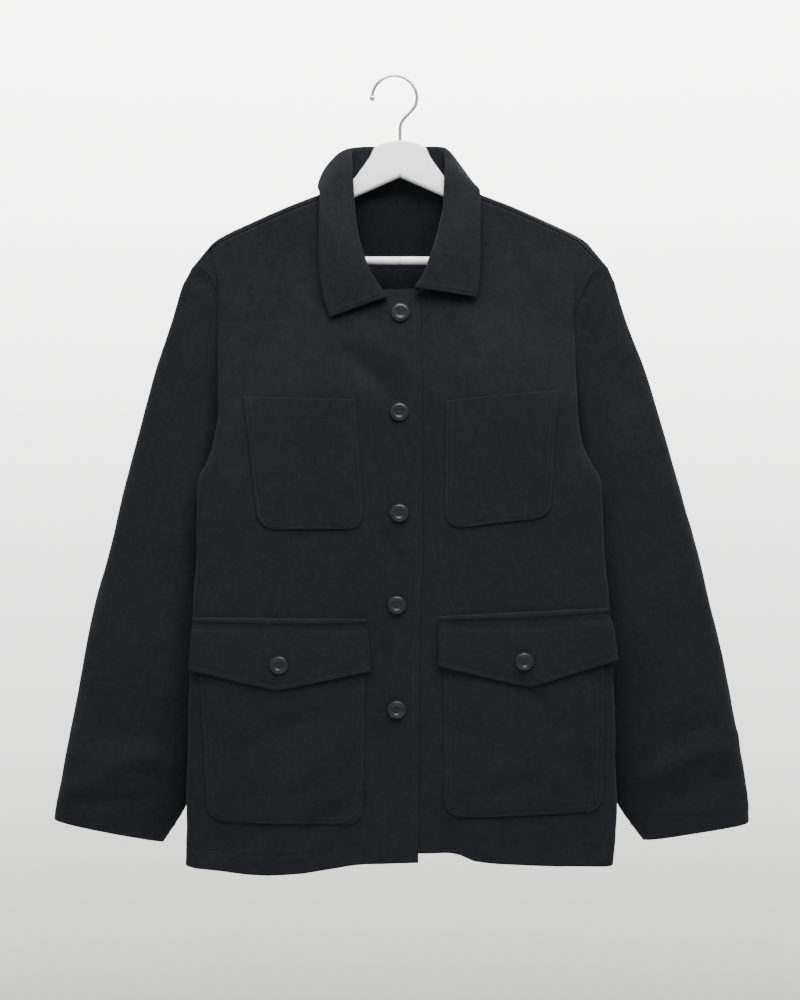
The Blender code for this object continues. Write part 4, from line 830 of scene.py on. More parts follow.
@dataclass
class CollarForm:
    """The collar: its seam at the neckline, its stand, roll and fall."""

    thick: float = DOUBLE_CLOTH
    air: float = COLLAR_LIFT
    bulge: float = 0.17  # of the fall's width
    flatter: tuple[float, float] = (0.45, 0.95)  # along the collar, where its bulge goes down
    flatter_by: float = 0.75
    swell_at: float = 0.34
    swell_width: float = 0.1
    lean: tuple[float, float] = (0.2, 0.55)  # at the roll, of the fall's and the stand's width
    drape: float = 0.38  # of the fall's width, how far up from the edge it hangs straight
    swell: ClassVar[dict[str, float]] = {"right": 0.12, "left": 0.02}
    lies_from: tuple[float, float] = (1.18, 1.34)  # past the roll, where the body holds it up

    @staticmethod
    def lines(side: Side, along: Array) -> dict[str, Array]:
        """Seam, roll and edge lines; along is 0 at the middle of the back and 1 in front."""
        rows = COLLAR_BACK + COLLAR_FRONT[side.value]
        place = np.linspace(0, 1, len(rows))
        return {name: np.stack([smooth_value(along, place, values) for values in
                                np.array(column(rows, name), float).T], axis=-1)
                for name in rows[0]._fields}

    @staticmethod
    def clear_of_body(points: Array, gap: float, side: Side) -> Array:
        """Points pushed out of the body's draped surface by at least the gap."""
        points = points.copy()
        x, y, z = points[..., 0], points[..., 1], points[..., 2]
        centre_z = FORM.ridge_height(x) - RIDGE_RADIUS
        away = np.hypot(y, z - centre_z)
        push = np.clip((RIDGE_RADIUS + gap) / np.maximum(away, TINY), 1, None)
        draped = FORM.front_depth(x, z, side) + FORM.front_drape(x, z, side)
        front = -(draped + gap)
        back = FORM.back_depth(x, z) + gap
        low_y = np.where(y < 0, np.minimum(y, front), np.maximum(y, back))
        over = z > centre_z
        points[..., 1] = np.where(over, y * push, low_y)
        points[..., 2] = np.where(over, centre_z + (z - centre_z) * push, z)
        return points

    def half(self, side: Side, along: Array, over: Array) -> Array:
        """Half the collar.

        Args:
            side: which half.
            along: places from 0 at the middle of the back to 1 at the front end.
            over: places from 0 at the seam to 1 at the roll and 2 at the outer edge.

        Returns:
            Points in millimetres, a row for each place in along.
        """
        along, over = np.meshgrid(along, over, indexing="ij")
        line = self.lines(side, along)
        seam, roll, edge = line["seam"], line["roll"], line["edge"]
        rise = roll - seam
        stand = np.linalg.norm(rise, axis=-1, keepdims=True)
        fall = np.linalg.norm(edge - roll, axis=-1, keepdims=True)
        up = rise / stand
        out = unit(roll * [1, 1, 0] + [0, 5.0, 0])
        beside_neck = np.exp(-((along - self.swell_at) / self.swell_width) ** 2)
        share = self.bulge * (1 - self.flatter_by * ease(along, *self.flatter))
        bulge = (share + self.swell[side.value] * beside_neck)[..., None] * fall
        lean = np.minimum(self.lean[0] * fall, self.lean[1] * stand)
        top = roll + up * lean * self.lean[1] + out * bulge
        drape = edge + (roll - edge) * self.drape + out * bulge
        fallen = bezier(roll, top, drape, edge, np.clip(over - 1, 0, 1))
        pushed = self.clear_of_body(fallen, self.thick + self.air, side)
        fallen = fallen + (pushed - fallen) * ease(over, *self.lies_from)[..., None]
        upright = bezier(seam, seam + rise * 0.35, roll - up * np.minimum(0.3 * stand, 9), roll,
                         np.clip(over, 0, 1))
        points = np.where((over > 1)[..., None], fallen, upright)
        points[..., 0] *= side.sign
        return points


def between(first: Place, last: Place, share: Array) -> Place:
    """The place at a share of the way from one place to another."""
    return Place(first.x + (last.x - first.x) * share, first.z + (last.z - first.z) * share)


@dataclass
class PatchForm:
    """A patch pocket: a straight top and sides, rounded lower corners."""

    side: Side
    size: PocketSize
    mouth: float = 1.0
    mouth_reach: float = 0.09
    fullness: float = 0.7
    edge_lift: float = 0.5

    def outline(self, across: Array, down: Array) -> Place:
        """x and z of places on the pocket."""
        size = self.size
        height = size.top_in.z - size.low_in.z
        near_foot = np.clip(1 - (1 - down) * height / size.round_by, 0, 1)
        inset = size.round_by * (1 - np.sqrt(1 - near_foot**2))
        inner = between(size.top_in, size.low_in, down)
        outer = between(size.top_out, size.low_out, down)
        return between(Place(inner.x + inset, inner.z), Place(outer.x - inset, outer.z), across)

    def grid(self, across: Array, down: Array, wall: float) -> Array:
        """The face of the pocket, on the front's own points moved out by the wall."""
        down, across = np.meshgrid(down, across, indexing="ij")
        face = self.outline(across, down)
        crown = self.size.crown * np.sin(np.pi * across) ** self.fullness
        crown = crown * np.sin(np.pi * np.clip(down, 0, 1)) ** self.fullness
        near_mouth = np.clip(1 - down / self.mouth_reach, 0, 1) ** 2
        mouth = self.mouth * near_mouth * np.sin(np.pi * across)
        return FORM.front_point(*face, self.side, self.edge_lift + wall + crown + mouth)


@dataclass
class FlapForm:
    """A pointed flap with a raised tuck along its top."""

    side: Side
    size: FlapSize
    blunt: float = 0.03
    blunt_from: float = 0.86
    soft_depth: float = 0.5
    soft_size: float = 60.0
    seeds: ClassVar[dict[str, int]] = {"right": 73, "left": 71}

    def outline(self, across: Array, down: Array) -> Place:
        """x and z of places on the flap."""
        size = self.size
        at = (size.point.x - size.low_in.x) / (size.low_out.x - size.low_in.x)
        to_point = np.where(across < at, across / at, (1 - across) / (1 - at))
        softened = to_point - self.blunt * ease(to_point, self.blunt_from, 1.0)
        at_point = between(size.low_in, size.low_out, at).z
        low_z = between(size.low_in, size.low_out, across).z + (size.point.z - at_point) * softened
        top_z = between(size.top_in, size.top_out, across).z
        inner_x = between(size.top_in, size.low_in, down).x
        outer_x = between(size.top_out, size.low_out, down).x
        return Place(inner_x + (outer_x - inner_x) * across, top_z + (low_z - top_z) * down)

    def grid(self, across: Array, down: Array, wall: float) -> Array:
        """The face of the flap, standing off the pocket towards its point."""
        down, across = np.meshgrid(down, across, indexing="ij")
        x, z = self.outline(across, down)
        lift = read_table(FLAP_ROWS, "down", "lift", down)
        soft = (self.soft_depth * ripple(x, z, self.soft_size, self.seeds[self.side.value])
                * ease(down, 0.15, 0.5))
        return FORM.front_point(x, z, self.side, lift + wall + soft)

    def button_place(self, place: Place) -> tuple[Array, Array]:
        """A point of the flap's face and the way out of it, where its button is sewn."""
        size = self.size
        across = (place.x - size.low_in.x) / (size.low_out.x - size.low_in.x)
        low = self.outline(np.array(across), np.array(1.0)).z
        down = (size.top_in.z - place.z) / (size.top_in.z - low)
        lift = read_table(FLAP_ROWS, "down", "lift", down) + DOUBLE_CLOTH
        lifted = FORM.front_point(place.x, place.z, self.side, np.array([0.0, 1.0]))
        way = lifted[1] - lifted[0]
        return lifted[0] + lift * way, way


# --- cloth as meshes ---------------------------------------------------------------------------
def run_along(grid: Array, axis: int) -> Array:
    """Each point's distance from the start of its column (axis 0) or row (axis 1)."""
    steps = np.linalg.norm(np.diff(grid, axis=axis), axis=-1)
    before = [(1, 0), (0, 0)] if axis == 0 else [(0, 0), (1, 0)]
    return np.cumsum(np.pad(steps, before), axis=axis)


def flat_of(grid: Array) -> tuple[Array, Array]:
    """Flat coordinates of a grid's points, measured along its rows and columns."""
    return run_along(grid, 1), run_along(grid, 0)


class Edge(Enum):
    """The four edges of a sheet's grid."""

    FIRST_ROW = "first row"
    LAST_ROW = "last row"
    FIRST_COLUMN = "first column"
    LAST_COLUMN = "last column"


@dataclass
class Line:
    """A path on a sheet, as fractional rows and columns of its grid."""

    row: Array
    col: Array


@dataclass
class ClothSheet:
    """A sheet of cloth: a grid of points on its outer face, and the wall behind them."""

    name: str
    outer: Array
    thick: float
    turn: bool
    flat: tuple[Array, Array]
    drape: Array | float = 0.0
    pucker: float = 0.28
    pucker_size: float = 11.0
    seed: int = 5
    seams: tuple[Edge, ...] = ()
    pressed: tuple[tuple[Edge, float], ...] = ()
    press_depth: float = 0.4
    press_width: float = 1.4
    seam_depth: float = 0.9
    seam_width: float = 1.7
    neckline_from: int = 10_000
    end_calm: float = 15.0
    edge_fade: float = 6.0
    rim_in: tuple[float, float] = (0.26, 0.2)
    rim_out: float = 0.24
    plain: Array = field(init=False)
    out: Array = field(init=False)
    near_edge: Array = field(init=False)

    def __post_init__(self) -> None:
        """Lay the creases and the puckered edges on the plain form."""
        self.plain = self.outer.copy()
        normal = face_normals(self.outer, self.turn)
        self.near_edge = np.exp(-self.from_edges() / self.edge_fade)
        small = self.pucker * self.near_edge * ripple(*self.flat, self.pucker_size, self.seed)
        if self.seams:
            off_seam = np.minimum.reduce([self.from_edge(edge) for edge in self.seams])
            small = small - self.seam_depth * np.exp(-((off_seam / self.seam_width) ** 2))
        for edge, inside in self.pressed:
            off_row = (self.from_edge(edge) - inside) / self.press_width
            small = small - self.press_depth * np.exp(-(off_row**2))
        off_end = np.linalg.norm(np.abs(self.plain) - SHOULDER_END, axis=-1)
        calm = 1 - np.exp(-((off_end / self.end_calm) ** 2))
        self.outer = self.outer + normal * (calm * (self.drape + small))[..., None]
        self.out = face_normals(self.outer, self.turn)

    def from_edge(self, edge: Edge) -> Array:
        """Each point's distance from one edge, along the grid."""
        axis = 0 if edge in (Edge.FIRST_ROW, Edge.LAST_ROW) else 1
        run = run_along(self.plain, axis)
        if edge in (Edge.LAST_ROW, Edge.LAST_COLUMN):
            run = np.take(run, [-1], axis=axis) - run
        if edge is Edge.FIRST_COLUMN:
            run[self.neckline_from:] = np.maximum(run[self.neckline_from:], FAR_OFF)
        return run

    def from_edges(self) -> Array:
        """Each point's distance from the nearest edge, along the grid."""
        return np.minimum.reduce([self.from_edge(edge) for edge in Edge])

    def inset(self, edge: Edge, distance: float, start: float = 0.0, stop: float = 1.0) -> Line:
        """A line at a true distance in from an edge.

        Args:
            edge: which edge.
            distance: millimetres in from it.
            start: share of the edge's length to begin at.
            stop: share to end at.

        Returns:
            The line, a point for each row or column of the grid.
        """
        columns = edge in (Edge.FIRST_COLUMN, Edge.LAST_COLUMN)
        grid = self.outer if columns else self.outer.transpose(1, 0, 2)
        backwards = edge in (Edge.LAST_ROW, Edge.LAST_COLUMN)
        if backwards:
            grid = grid[:, ::-1]
        inside = np.array([np.interp(distance, run, np.arange(len(run)))
                           for run in run_along(grid, 1)])
        if backwards:
            inside = grid.shape[1] - 1 - inside
        count = len(grid)
        edge_run = run_along(grid[:, :1], 0)[:, 0]
        share = edge_run / max(edge_run[-1], TINY)
        wanted = np.linspace(start, stop, count)
        place = np.interp(wanted, share, np.arange(count))
        inside = np.interp(place, np.arange(count), inside)
        return Line(place, inside) if columns else Line(inside, place)

    def sample(self, grid: Array, line: Line) -> Array:
        """A grid's values along a line."""
        rows, cols = grid.shape[:2]
        row = np.clip(line.row, 0, rows - 1)
        col = np.clip(line.col, 0, cols - 1)
        r = np.minimum(row.astype(int), rows - 2)
        c = np.minimum(col.astype(int), cols - 2)
        fr, fc = (row - r)[:, None], (col - c)[:, None]
        return ((grid[r, c] * (1 - fc) + grid[r, c + 1] * fc) * (1 - fr)
                + (grid[r + 1, c] * (1 - fc) + grid[r + 1, c + 1] * fc) * fr)

    def build(self, finish: Material) -> Object:
        """The sheet as a closed shell with rounded edges.

        Args:
            finish: the material of both faces.

        Returns:
            The new object, at the origin.
        """
        rows, cols = self.outer.shape[:2]
        outer = self.outer.copy()
        inner = self.outer - self.thick * self.out
        rim = np.concatenate([
            np.arange(cols - 1), np.arange(rows - 1) * cols + cols - 1,
            (rows - 1) * cols + np.arange(cols - 1, 0, -1), np.arange(rows - 1, 0, -1) * cols])
        flat_outer, flat_inner = outer.reshape(-1, 3), inner.reshape(-1, 3)
        beside = np.roll(flat_outer[rim], -1, axis=0) - np.roll(flat_outer[rim], 1, axis=0)
        off = unit(np.cross(beside, self.out.reshape(-1, 3)[rim]))
        if self.turn:
            off = -off
        wall = flat_inner[rim] - flat_outer[rim]
        flat_outer[rim] += self.rim_in[0] * wall
        flat_inner[rim] -= self.rim_in[1] * wall
        middle = (flat_outer[rim] + flat_inner[rim]) / 2 + off * self.rim_out * self.thick
        points = np.concatenate([flat_outer, flat_inner, middle]) * MM
        points[:, 0] += MIDDLE_X * MM

        corner = (np.arange(rows - 1)[:, None] * cols + np.arange(cols - 1)).ravel()
        quads = np.stack([corner, corner + 1, corner + cols + 1, corner + cols], axis=1)
        back = rows * cols
        after = np.roll(np.arange(len(rim)), -1)
        mid = 2 * back + np.arange(len(rim))
        rim_outer = np.stack([rim[after], rim, mid, mid[after]], axis=1)
        rim_inner = np.stack([mid[after], mid, rim + back, rim[after] + back], axis=1)
        faces = np.concatenate([quads, quads[:, ::-1] + back, rim_outer, rim_inner])
        if self.turn:
            faces = faces[:, ::-1]
        mesh = bpy.data.meshes.new(self.name)
        mesh.from_pydata(points.tolist(), [], faces.tolist())
        u, v = (np.concatenate([part.ravel(), part.ravel(), part.ravel()[rim]]) * MM
                for part in self.flat)
        layer = mesh.uv_layers.new(name="cloth")
        loops = faces.ravel()
        layer.data.foreach_set("uv", np.stack([u[loops], v[loops]], axis=1).ravel())
        edge = self.near_edge.ravel()
        attribute = mesh.attributes.new("edge", "FLOAT", "POINT")
        attribute.data.foreach_set("value", np.concatenate([edge, edge, edge[rim]]))
        return place_object(self.name, mesh, finish)


def in_scene(name: str, data: bpy.types.ID) -> Object:
    """A new object at the origin, in the scene."""
    made = bpy.data.objects.new(name, data)
    bpy.context.scene.collection.objects.link(made)
    return made


def place_object(name: str, mesh: Mesh, finish: Material) -> Object:
    """A new object with smooth faces and one finish."""
    mesh.materials.clear()
    mesh.materials.append(finish)
    mesh.shade_smooth()
    mesh.update()
    return in_scene(name, mesh)


def evaluated(scratch: Object) -> Mesh:
    """The mesh that a scratch object's modifiers make; the object is removed."""
    bpy.context.view_layer.update()
    graph = bpy.context.evaluated_depsgraph_get()
    mesh = bpy.data.meshes.new_from_object(scratch.evaluated_get(graph))
    bpy.data.objects.remove(scratch, do_unlink=True)
    return mesh


def mesh_of(name: str, shape: bmesh.types.BMesh) -> Mesh:
    """A plain mesh from an edited one, which is freed."""
    mesh = bpy.data.meshes.new(name)
    shape.to_mesh(mesh)
    shape.free()
    return mesh


def moved_to(x: float, y: float, z: float) -> Matrix:
    """A move by millimetres."""
    return Matrix.Translation(Vector((x, y, z)) * MM)


def cylinder(shape: bmesh.types.BMesh, radius: float, depth: float, segments: int,
             place: Matrix, top: float | None = None) -> None:
    """Add a cylinder, or a cone with its top radius given, in millimetres."""
    bmesh.ops.create_cone(shape, cap_ends=True, segments=segments, depth=depth * MM,
                          radius1=radius * MM, radius2=(radius if top is None else top) * MM,
                          matrix=place)


# --- node trees --------------------------------------------------------------------------------
@dataclass
class NodeKit:
    """Short ways to add nodes to a tree and join them."""

    tree: NodeTree

    @classmethod
    def group(cls, name: str, inputs: dict[str, str], outputs: dict[str, str],
              kind: str = "Shader") -> tuple[NodeKit, Node, Node]:
        """A new node group with named sockets.

        Args:
            name: the group's name.
            inputs: socket type by input name.
            outputs: socket type by output name.
            kind: Shader or Geometry.

        Returns:
            The group's kit, its input node and its output node.
        """
        kit = cls(bpy.data.node_groups.new(name, kind + "NodeTree"))
        for way, sockets in (("INPUT", inputs), ("OUTPUT", outputs)):
            for label, socket in sockets.items():
                kit.tree.interface.new_socket(label, in_out=way, socket_type="NodeSocket" + socket)
        return kit, kit.add("NodeGroupInput"), kit.add("NodeGroupOutput")

    def add(self, kind: str, links: dict | None = None, values: dict | None = None,
            **settings: object) -> Node:
        """A new node.

        Args:
            kind: its type.
            links: source socket by input name or number.
            values: plain value by input name or number.
            **settings: the node's own properties.

        Returns:
            The node.
        """
        node = self.tree.nodes.new(kind)
        for key, value in settings.items():
            setattr(node, key, value)
        for key, value in (values or {}).items():
            node.inputs[key].default_value = value
        self.join(node, links or {})
        return node

    def join(self, node: Node, links: dict) -> None:
        """Link sources to a node's inputs by name or number."""
        for key, source in links.items():
            self.tree.links.new(source, node.inputs[key])

    def math(self, operation: str, *terms: object, clamp: bool = False) -> NodeSocket:
        """Sockets or plain values put together, two at a time from the left."""
        total, *rest = terms
        for term in rest:
            node = self.add("ShaderNodeMath", operation=operation, use_clamp=clamp)
            for slot, value in enumerate((total, term)):
                if isinstance(value, NodeSocket):
                    self.tree.links.new(value, node.inputs[slot])
                else:
                    node.inputs[slot].default_value = value
            total = node.outputs[0]
        return total

    def noise(self, vector: NodeSocket, scale: float, detail: float = 2.0,
              roughness: float = 0.5) -> NodeSocket:
        """A noise texture's value at a vector."""
        node = self.add("ShaderNodeTexNoise", {"Vector": vector},
                        {"Scale": scale, "Detail": detail, "Roughness": roughness})
        return node.outputs["Fac"]


# --- stitches ----------------------------------------------------------------------------------
@dataclass(frozen=True)
class ThreadSize:
    """The size and spacing of one kind of stitch, in millimetres."""

    pitch: float = 3.0
    length: float = 2.3
    width: float = 0.5
    crosswise: bool = False


SEAM_THREAD = ThreadSize()
SHORT = (0.02, 0.98)  # the share of an edge that a row along it covers
BUTTONHOLE_THREAD = ThreadSize(pitch=0.75, length=2.1, width=0.55, crosswise=True)
STITCH_SEED = 4  # for the uneven lengths


def stitch_tree() -> NodeTree:
    """The node tree that sets small rounded stitches along edges, built once."""
    kit, given, result = NodeKit.group(
        "stitches_along_lines", {"Lines": "Geometry", "Pitch": "Float", "Length": "Float",
                                 "Width": "Float", "Crosswise": "Bool", "Thread": "Material"},
        {"Stitches": "Geometry"}, "Geometry")
    asked = given.outputs
    curve = kit.add("GeometryNodeMeshToCurve", {"Mesh": asked["Lines"]})
    spots = kit.add("GeometryNodeCurveToPoints", {"Curve": curve.outputs["Curve"],
                                                  "Length": asked["Pitch"]}, mode="LENGTH")
    facing = kit.add("GeometryNodeInputNamedAttribute", values={"Name": "facing"},
                     data_type="FLOAT_VECTOR").outputs["Attribute"]
    beside = kit.add("ShaderNodeVectorMath", {0: spots.outputs["Tangent"], 1: facing},
                     operation="CROSS_PRODUCT")
    way = kit.add("GeometryNodeSwitch", {"Switch": asked["Crosswise"],
                                         "False": spots.outputs["Tangent"],
                                         "True": beside.outputs["Vector"]}, input_type="VECTOR")
    upright = kit.add("FunctionNodeAlignRotationToVector", {"Vector": facing}, axis="Z")
    turned = kit.add("FunctionNodeAlignRotationToVector",
                     {"Rotation": upright.outputs["Rotation"], "Vector": way.outputs[0]},
                     axis="X", pivot_axis="Z")
    bead = kit.add("GeometryNodeMeshUVSphere", values={"Segments": 6, "Rings": 4, "Radius": 0.5})
    uneven = kit.add("FunctionNodeRandomValue", values={2: 0.86, 3: 1.1, "Seed": STITCH_SEED},
                     data_type="FLOAT")
    length = kit.math("MULTIPLY", asked["Length"], uneven.outputs[1])
    size = kit.add("ShaderNodeCombineXYZ", {"X": length, "Y": asked["Width"], "Z": asked["Width"]})
    put = kit.add("GeometryNodeInstanceOnPoints",
                  {"Points": spots.outputs["Points"], "Instance": bead.outputs["Mesh"],
                   "Rotation": turned.outputs["Rotation"], "Scale": size.outputs["Vector"]})
    real = kit.add("GeometryNodeRealizeInstances", {"Geometry": put.outputs["Instances"]})
    finish = kit.add("GeometryNodeSetMaterial", {"Geometry": real.outputs["Geometry"],
                                                 "Material": asked["Thread"]})
    kit.join(result, {"Stitches": finish.outputs["Geometry"]})
    return kit.tree


@dataclass
class Stitcher:
    """Sews rows of stitches on sheets of cloth."""

    thread: Material
    tree: NodeTree = field(default_factory=stitch_tree)
    lift: float = 0.12

    def run(self, name: str, points: Sequence[Array], facing: Sequence[Array],
            size: ThreadSize) -> Mesh:
        """Stitches along several paths, as one plain mesh.

        Args:
            name: the mesh's name.
            points: each path's points, in the jacket's millimetres.
            facing: the way out of the cloth at each of them.
            size: the kind of stitch.

        Returns:
            The mesh of all the stitches.
        """
        lines = bpy.data.meshes.new(name + "_lines")
        edges, done = [], 0
        for path in points:
            edges += [(done + k, done + k + 1) for k in range(len(path) - 1)]
            done += len(path)
        places = np.concatenate(points) * MM
        places[:, 0] += MIDDLE_X * MM
        lines.from_pydata(places.tolist(), edges, [])
        attribute = lines.attributes.new("facing", "FLOAT_VECTOR", "POINT")
        attribute.data.foreach_set("vector", np.concatenate(facing).ravel())
        carrier = in_scene(name + "_lines", lines)
        modifier = carrier.modifiers.new("stitches", "NODES")
        modifier.node_group = self.tree
        values = {"Pitch": size.pitch * MM, "Length": size.length * MM,
                  "Width": size.width * MM, "Crosswise": size.crosswise, "Thread": self.thread}
        for socket in self.tree.interface.items_tree:
            if socket.in_out == "INPUT" and socket.name in values:
                modifier[socket.identifier] = values[socket.name]
        sewn = evaluated(carrier)
        bpy.data.meshes.remove(lines)
        sewn.name = name
        return sewn

    def sew(self, sheet: ClothSheet, lines: Sequence[Line],
            size: ThreadSize = SEAM_THREAD) -> Object:
        """A piece of stitches along lines of a sheet."""
        points = [sheet.sample(sheet.outer + self.lift * sheet.out, line) for line in lines]
        facing = [sheet.sample(sheet.out, line) for line in lines]
        mesh = self.run(sheet.name + "_stitches", points, facing, size)
        return place_object(sheet.name + "_stitches", mesh, self.thread)


# --- finishes ----------------------------------------------------------------------------------
Colour = tuple[float, float, float]


RIB_SLANT = 1.9  # how far a rib climbs for each step across
RIB_WAVER = 0.0016  # metres that a rib strays
YARN_TURNS = 11.0  # of the crossing threads, for each rib


def weave_group() -> NodeTree:
    """Twill: steep diagonal ribs crossed by single threads, as a height and a painted shade that
    is paler where the weave stands high and darker in its low parts.
    """
    kit, given, result = NodeKit.group("twill_weave", {"Vector": "Vector", "Rib": "Float"},
                                       {"Height": "Float", "Shade": "Float"})
    vector, pitch = given.outputs["Vector"], given.outputs["Rib"]
    split = kit.add("ShaderNodeSeparateXYZ", {"Vector": vector}).outputs
    slant = kit.math("ADD", kit.math("MULTIPLY", split["X"], RIB_SLANT), split["Y"],
                     kit.math("MULTIPLY", kit.noise(vector, 60.0), RIB_WAVER))
    rib = kit.math("SINE", kit.math("MULTIPLY", kit.math("DIVIDE", slant, pitch), 2 * math.pi), 0)
    yarn = kit.math("SINE", kit.math("MULTIPLY", kit.math("DIVIDE", split["Y"], pitch),
                                     YARN_TURNS), 0)
    slub = kit.noise(kit.add("ShaderNodeMapping", {"Vector": vector},
                             {"Scale": (900.0, 160.0, 1.0)}).outputs[0], 1.0, 3.0, 0.6)
    height = kit.math("ADD", kit.math("MULTIPLY", rib, 0.5), kit.math("MULTIPLY", yarn, 0.16),
                      kit.math("MULTIPLY", slub, 0.7))
    # Painted shade: the colour follows the relief, darker in the weave's low parts where shade
    # would fall.
    shade = kit.math("ADD", kit.math("MULTIPLY", height, 0.10), 0.95)
    kit.join(result, {"Height": height, "Shade": shade})
    return kit.tree


def wear_group() -> NodeTree:
    """Washed cloth: broad cloudiness, paler high edges and a little lint, as a factor."""
    kit, given, result = NodeKit.group("washed_wear", {"Vector": "Vector", "Edge": "Float"},
                                       {"Factor": "Float", "Lint": "Float"})
    vector = given.outputs["Vector"]

    def uneven(strength: float, *noise: float) -> NodeSocket:
        """A noise round zero at a strength."""
        return kit.math("MULTIPLY", kit.math("SUBTRACT", kit.noise(vector, *noise), 0.5), strength)

    rubbed = kit.math("MULTIPLY", given.outputs["Edge"], kit.noise(vector, 90.0), 0.16)
    factor = kit.math("ADD", uneven(0.4, 9.0, 3.0), uneven(1.2, 170.0, 4.0, 0.75),
                      uneven(0.4, 42.0, 3.0, 0.6), rubbed, 1.0)
    speck = kit.math("SUBTRACT", kit.noise(vector, 700.0, 0.0), 0.82, clamp=True)
    kit.join(result, {"Factor": factor, "Lint": kit.math("MULTIPLY", speck, 1.5, clamp=True)})
    return kit.tree


@dataclass(frozen=True)
class Finish:
    """A surface: its colour and how it shines."""

    name: str
    colour: Colour
    roughness: float
    metallic: float = 0.0

    def start(self) -> tuple[Material, NodeKit, Node]:
        """A new material with its kit and its main shader."""
        material = bpy.data.materials.new(self.name)
        material.use_nodes = True
        kit = NodeKit(material.node_tree)
        shader = kit.tree.nodes["Principled BSDF"]
        values = {"Base Color": (*self.colour, 1), "Roughness": self.roughness,
                  "Metallic": self.metallic, **self.extra()}
        for name, value in values.items():
            shader.inputs[name].default_value = value
        return material, kit, shader

    def extra(self) -> dict[str, float]:
        """More inputs of the main shader."""
        return {}

    def tinted(self, kit: NodeKit, shade: NodeSocket) -> NodeSocket:
        """The finish's colour times a shade."""
        return kit.add("ShaderNodeVectorMath", {1: shade}, {0: self.colour},
                       operation="MULTIPLY").outputs[0]

    @staticmethod
    def cover(kit: NodeKit, shader: Node, colour: NodeSocket,
              height: NodeSocket, strength: float, distance: float) -> None:
        """Give the main shader its colour and its fine relief."""
        bump = kit.add("ShaderNodeBump", {"Height": height},
                       {"Strength": strength, "Distance": distance})
        kit.join(shader, {"Base Color": colour, "Normal": bump.outputs["Normal"]})


@dataclass(frozen=True)
class TwillFinish(Finish):
    """Dark washed cotton twill."""

    rib: float = 0.00115
    weave_depth: float = 0.00016
    sheen: float = 0.035
    lint: float = 3.2

    def make(self, weave: NodeTree, wear: NodeTree) -> Material:
        """The material, with the shared weave and wear groups."""
        material, kit, shader = self.start()
        uv = kit.add("ShaderNodeUVMap", uv_map="cloth").outputs["UV"]
        place = kit.add("ShaderNodeTexCoord").outputs["Object"]
        edge = kit.add("ShaderNodeAttribute", attribute_name="edge").outputs["Fac"]
        woven = kit.add("ShaderNodeGroup", node_tree=weave)
        kit.join(woven, {"Vector": uv})
        woven.inputs["Rib"].default_value = self.rib
        worn = kit.add("ShaderNodeGroup", node_tree=wear)
        kit.join(worn, {"Vector": place, "Edge": edge})
        # The colour is the weave's painted shade times the wear's random tone.
        tint = self.tinted(kit, kit.math("MULTIPLY", woven.outputs["Shade"],
                                         worn.outputs["Factor"]))
        pale = tuple(self.lint * part for part in self.colour)
        mixed = kit.add("ShaderNodeMix", {"Factor": worn.outputs["Lint"], 6: tint},
                        {7: (*pale, 1)}, data_type="RGBA").outputs[2]
        self.cover(kit, shader, mixed, woven.outputs["Height"], 0.7, self.weave_depth)
        return material

    def extra(self) -> dict[str, float]:
        """The cloth's soft sheen."""
        return {"Sheen Weight": self.sheen, "Sheen Roughness": 0.4, "Specular IOR Level": 0.12}


@dataclass(frozen=True)
class ThreadFinish(Finish):
    """Cotton sewing thread, twisted from strands."""

    twist: float = 2600.0

    def make(self, wear: NodeTree) -> Material:
        """The material, slightly uneven from stitch to stitch."""
        material, kit, shader = self.start()
        place = kit.add("ShaderNodeTexCoord").outputs["Object"]
        worn = kit.add("ShaderNodeGroup", node_tree=wear)
        kit.join(worn, {"Vector": place})
        self.cover(kit, shader, self.tinted(kit, worn.outputs["Factor"]),
                   kit.noise(place, self.twist, 1.0), 0.5, 0.0001)
        return material

    def extra(self) -> dict[str, float]:
        """The thread's faint sheen."""
        return {"Sheen Weight": 0.04, "Specular IOR Level": 0.15}


@dataclass(frozen=True)
class SmoothFinish(Finish):
    """Plastic, paint or plating: fine scuffs and slight unevenness on a smooth surface."""

    scuffs: float = 0.12
    cloud_scale: float = 60.0
    waviness: float = 0.00005
    coat: float = 0.0
    shine: float = 0.5
    joint_below: float | None = None
    joint_width: float = 0.7
    joint_shade: float = 0.55

    def make(self) -> Material:
        """The material."""
        material, kit, shader = self.start()
        place = kit.add("ShaderNodeTexCoord").outputs["Object"]
        cloud = kit.noise(place, self.cloud_scale, 3.0)
        scratch = kit.noise(kit.add("ShaderNodeMapping", {"Vector": place},
                                    {"Scale": (90.0, 90.0, 1400.0)}).outputs[0], 1.0, 2.0, 0.7)
        rough = kit.math("ADD", self.roughness - self.scuffs / 2,
                         kit.math("MULTIPLY", scratch, self.scuffs))
        kit.join(shader, {"Roughness": rough})
        shade = kit.math("ADD", 0.94, kit.math("MULTIPLY", cloud, 0.12))
        if self.joint_below is not None:
            shade = self.joint(kit, place, shade)
        self.cover(kit, shader, self.tinted(kit, shade), cloud, 0.4, self.waviness)
        return material

    def extra(self) -> dict[str, float]:
        """The clear coat and the shine."""
        return {"Coat Weight": self.coat, "Specular IOR Level": self.shine}

    def joint(self, kit: NodeKit, place: NodeSocket, shade: NodeSocket) -> NodeSocket:
        """The shade with a fine dark line where the hanger's two halves meet."""
        split = kit.add("ShaderNodeSeparateXYZ", {"Vector": place})
        off = kit.math("ABSOLUTE", kit.math("SUBTRACT", split.outputs["X"], MIDDLE_X * MM), 0)
        line = kit.math("LESS_THAN", off, self.joint_width / 2 * MM)
        low = kit.math("LESS_THAN", split.outputs["Z"], self.joint_below * MM)
        return kit.math("SUBTRACT", shade, kit.math("MULTIPLY", line, low, self.joint_shade))


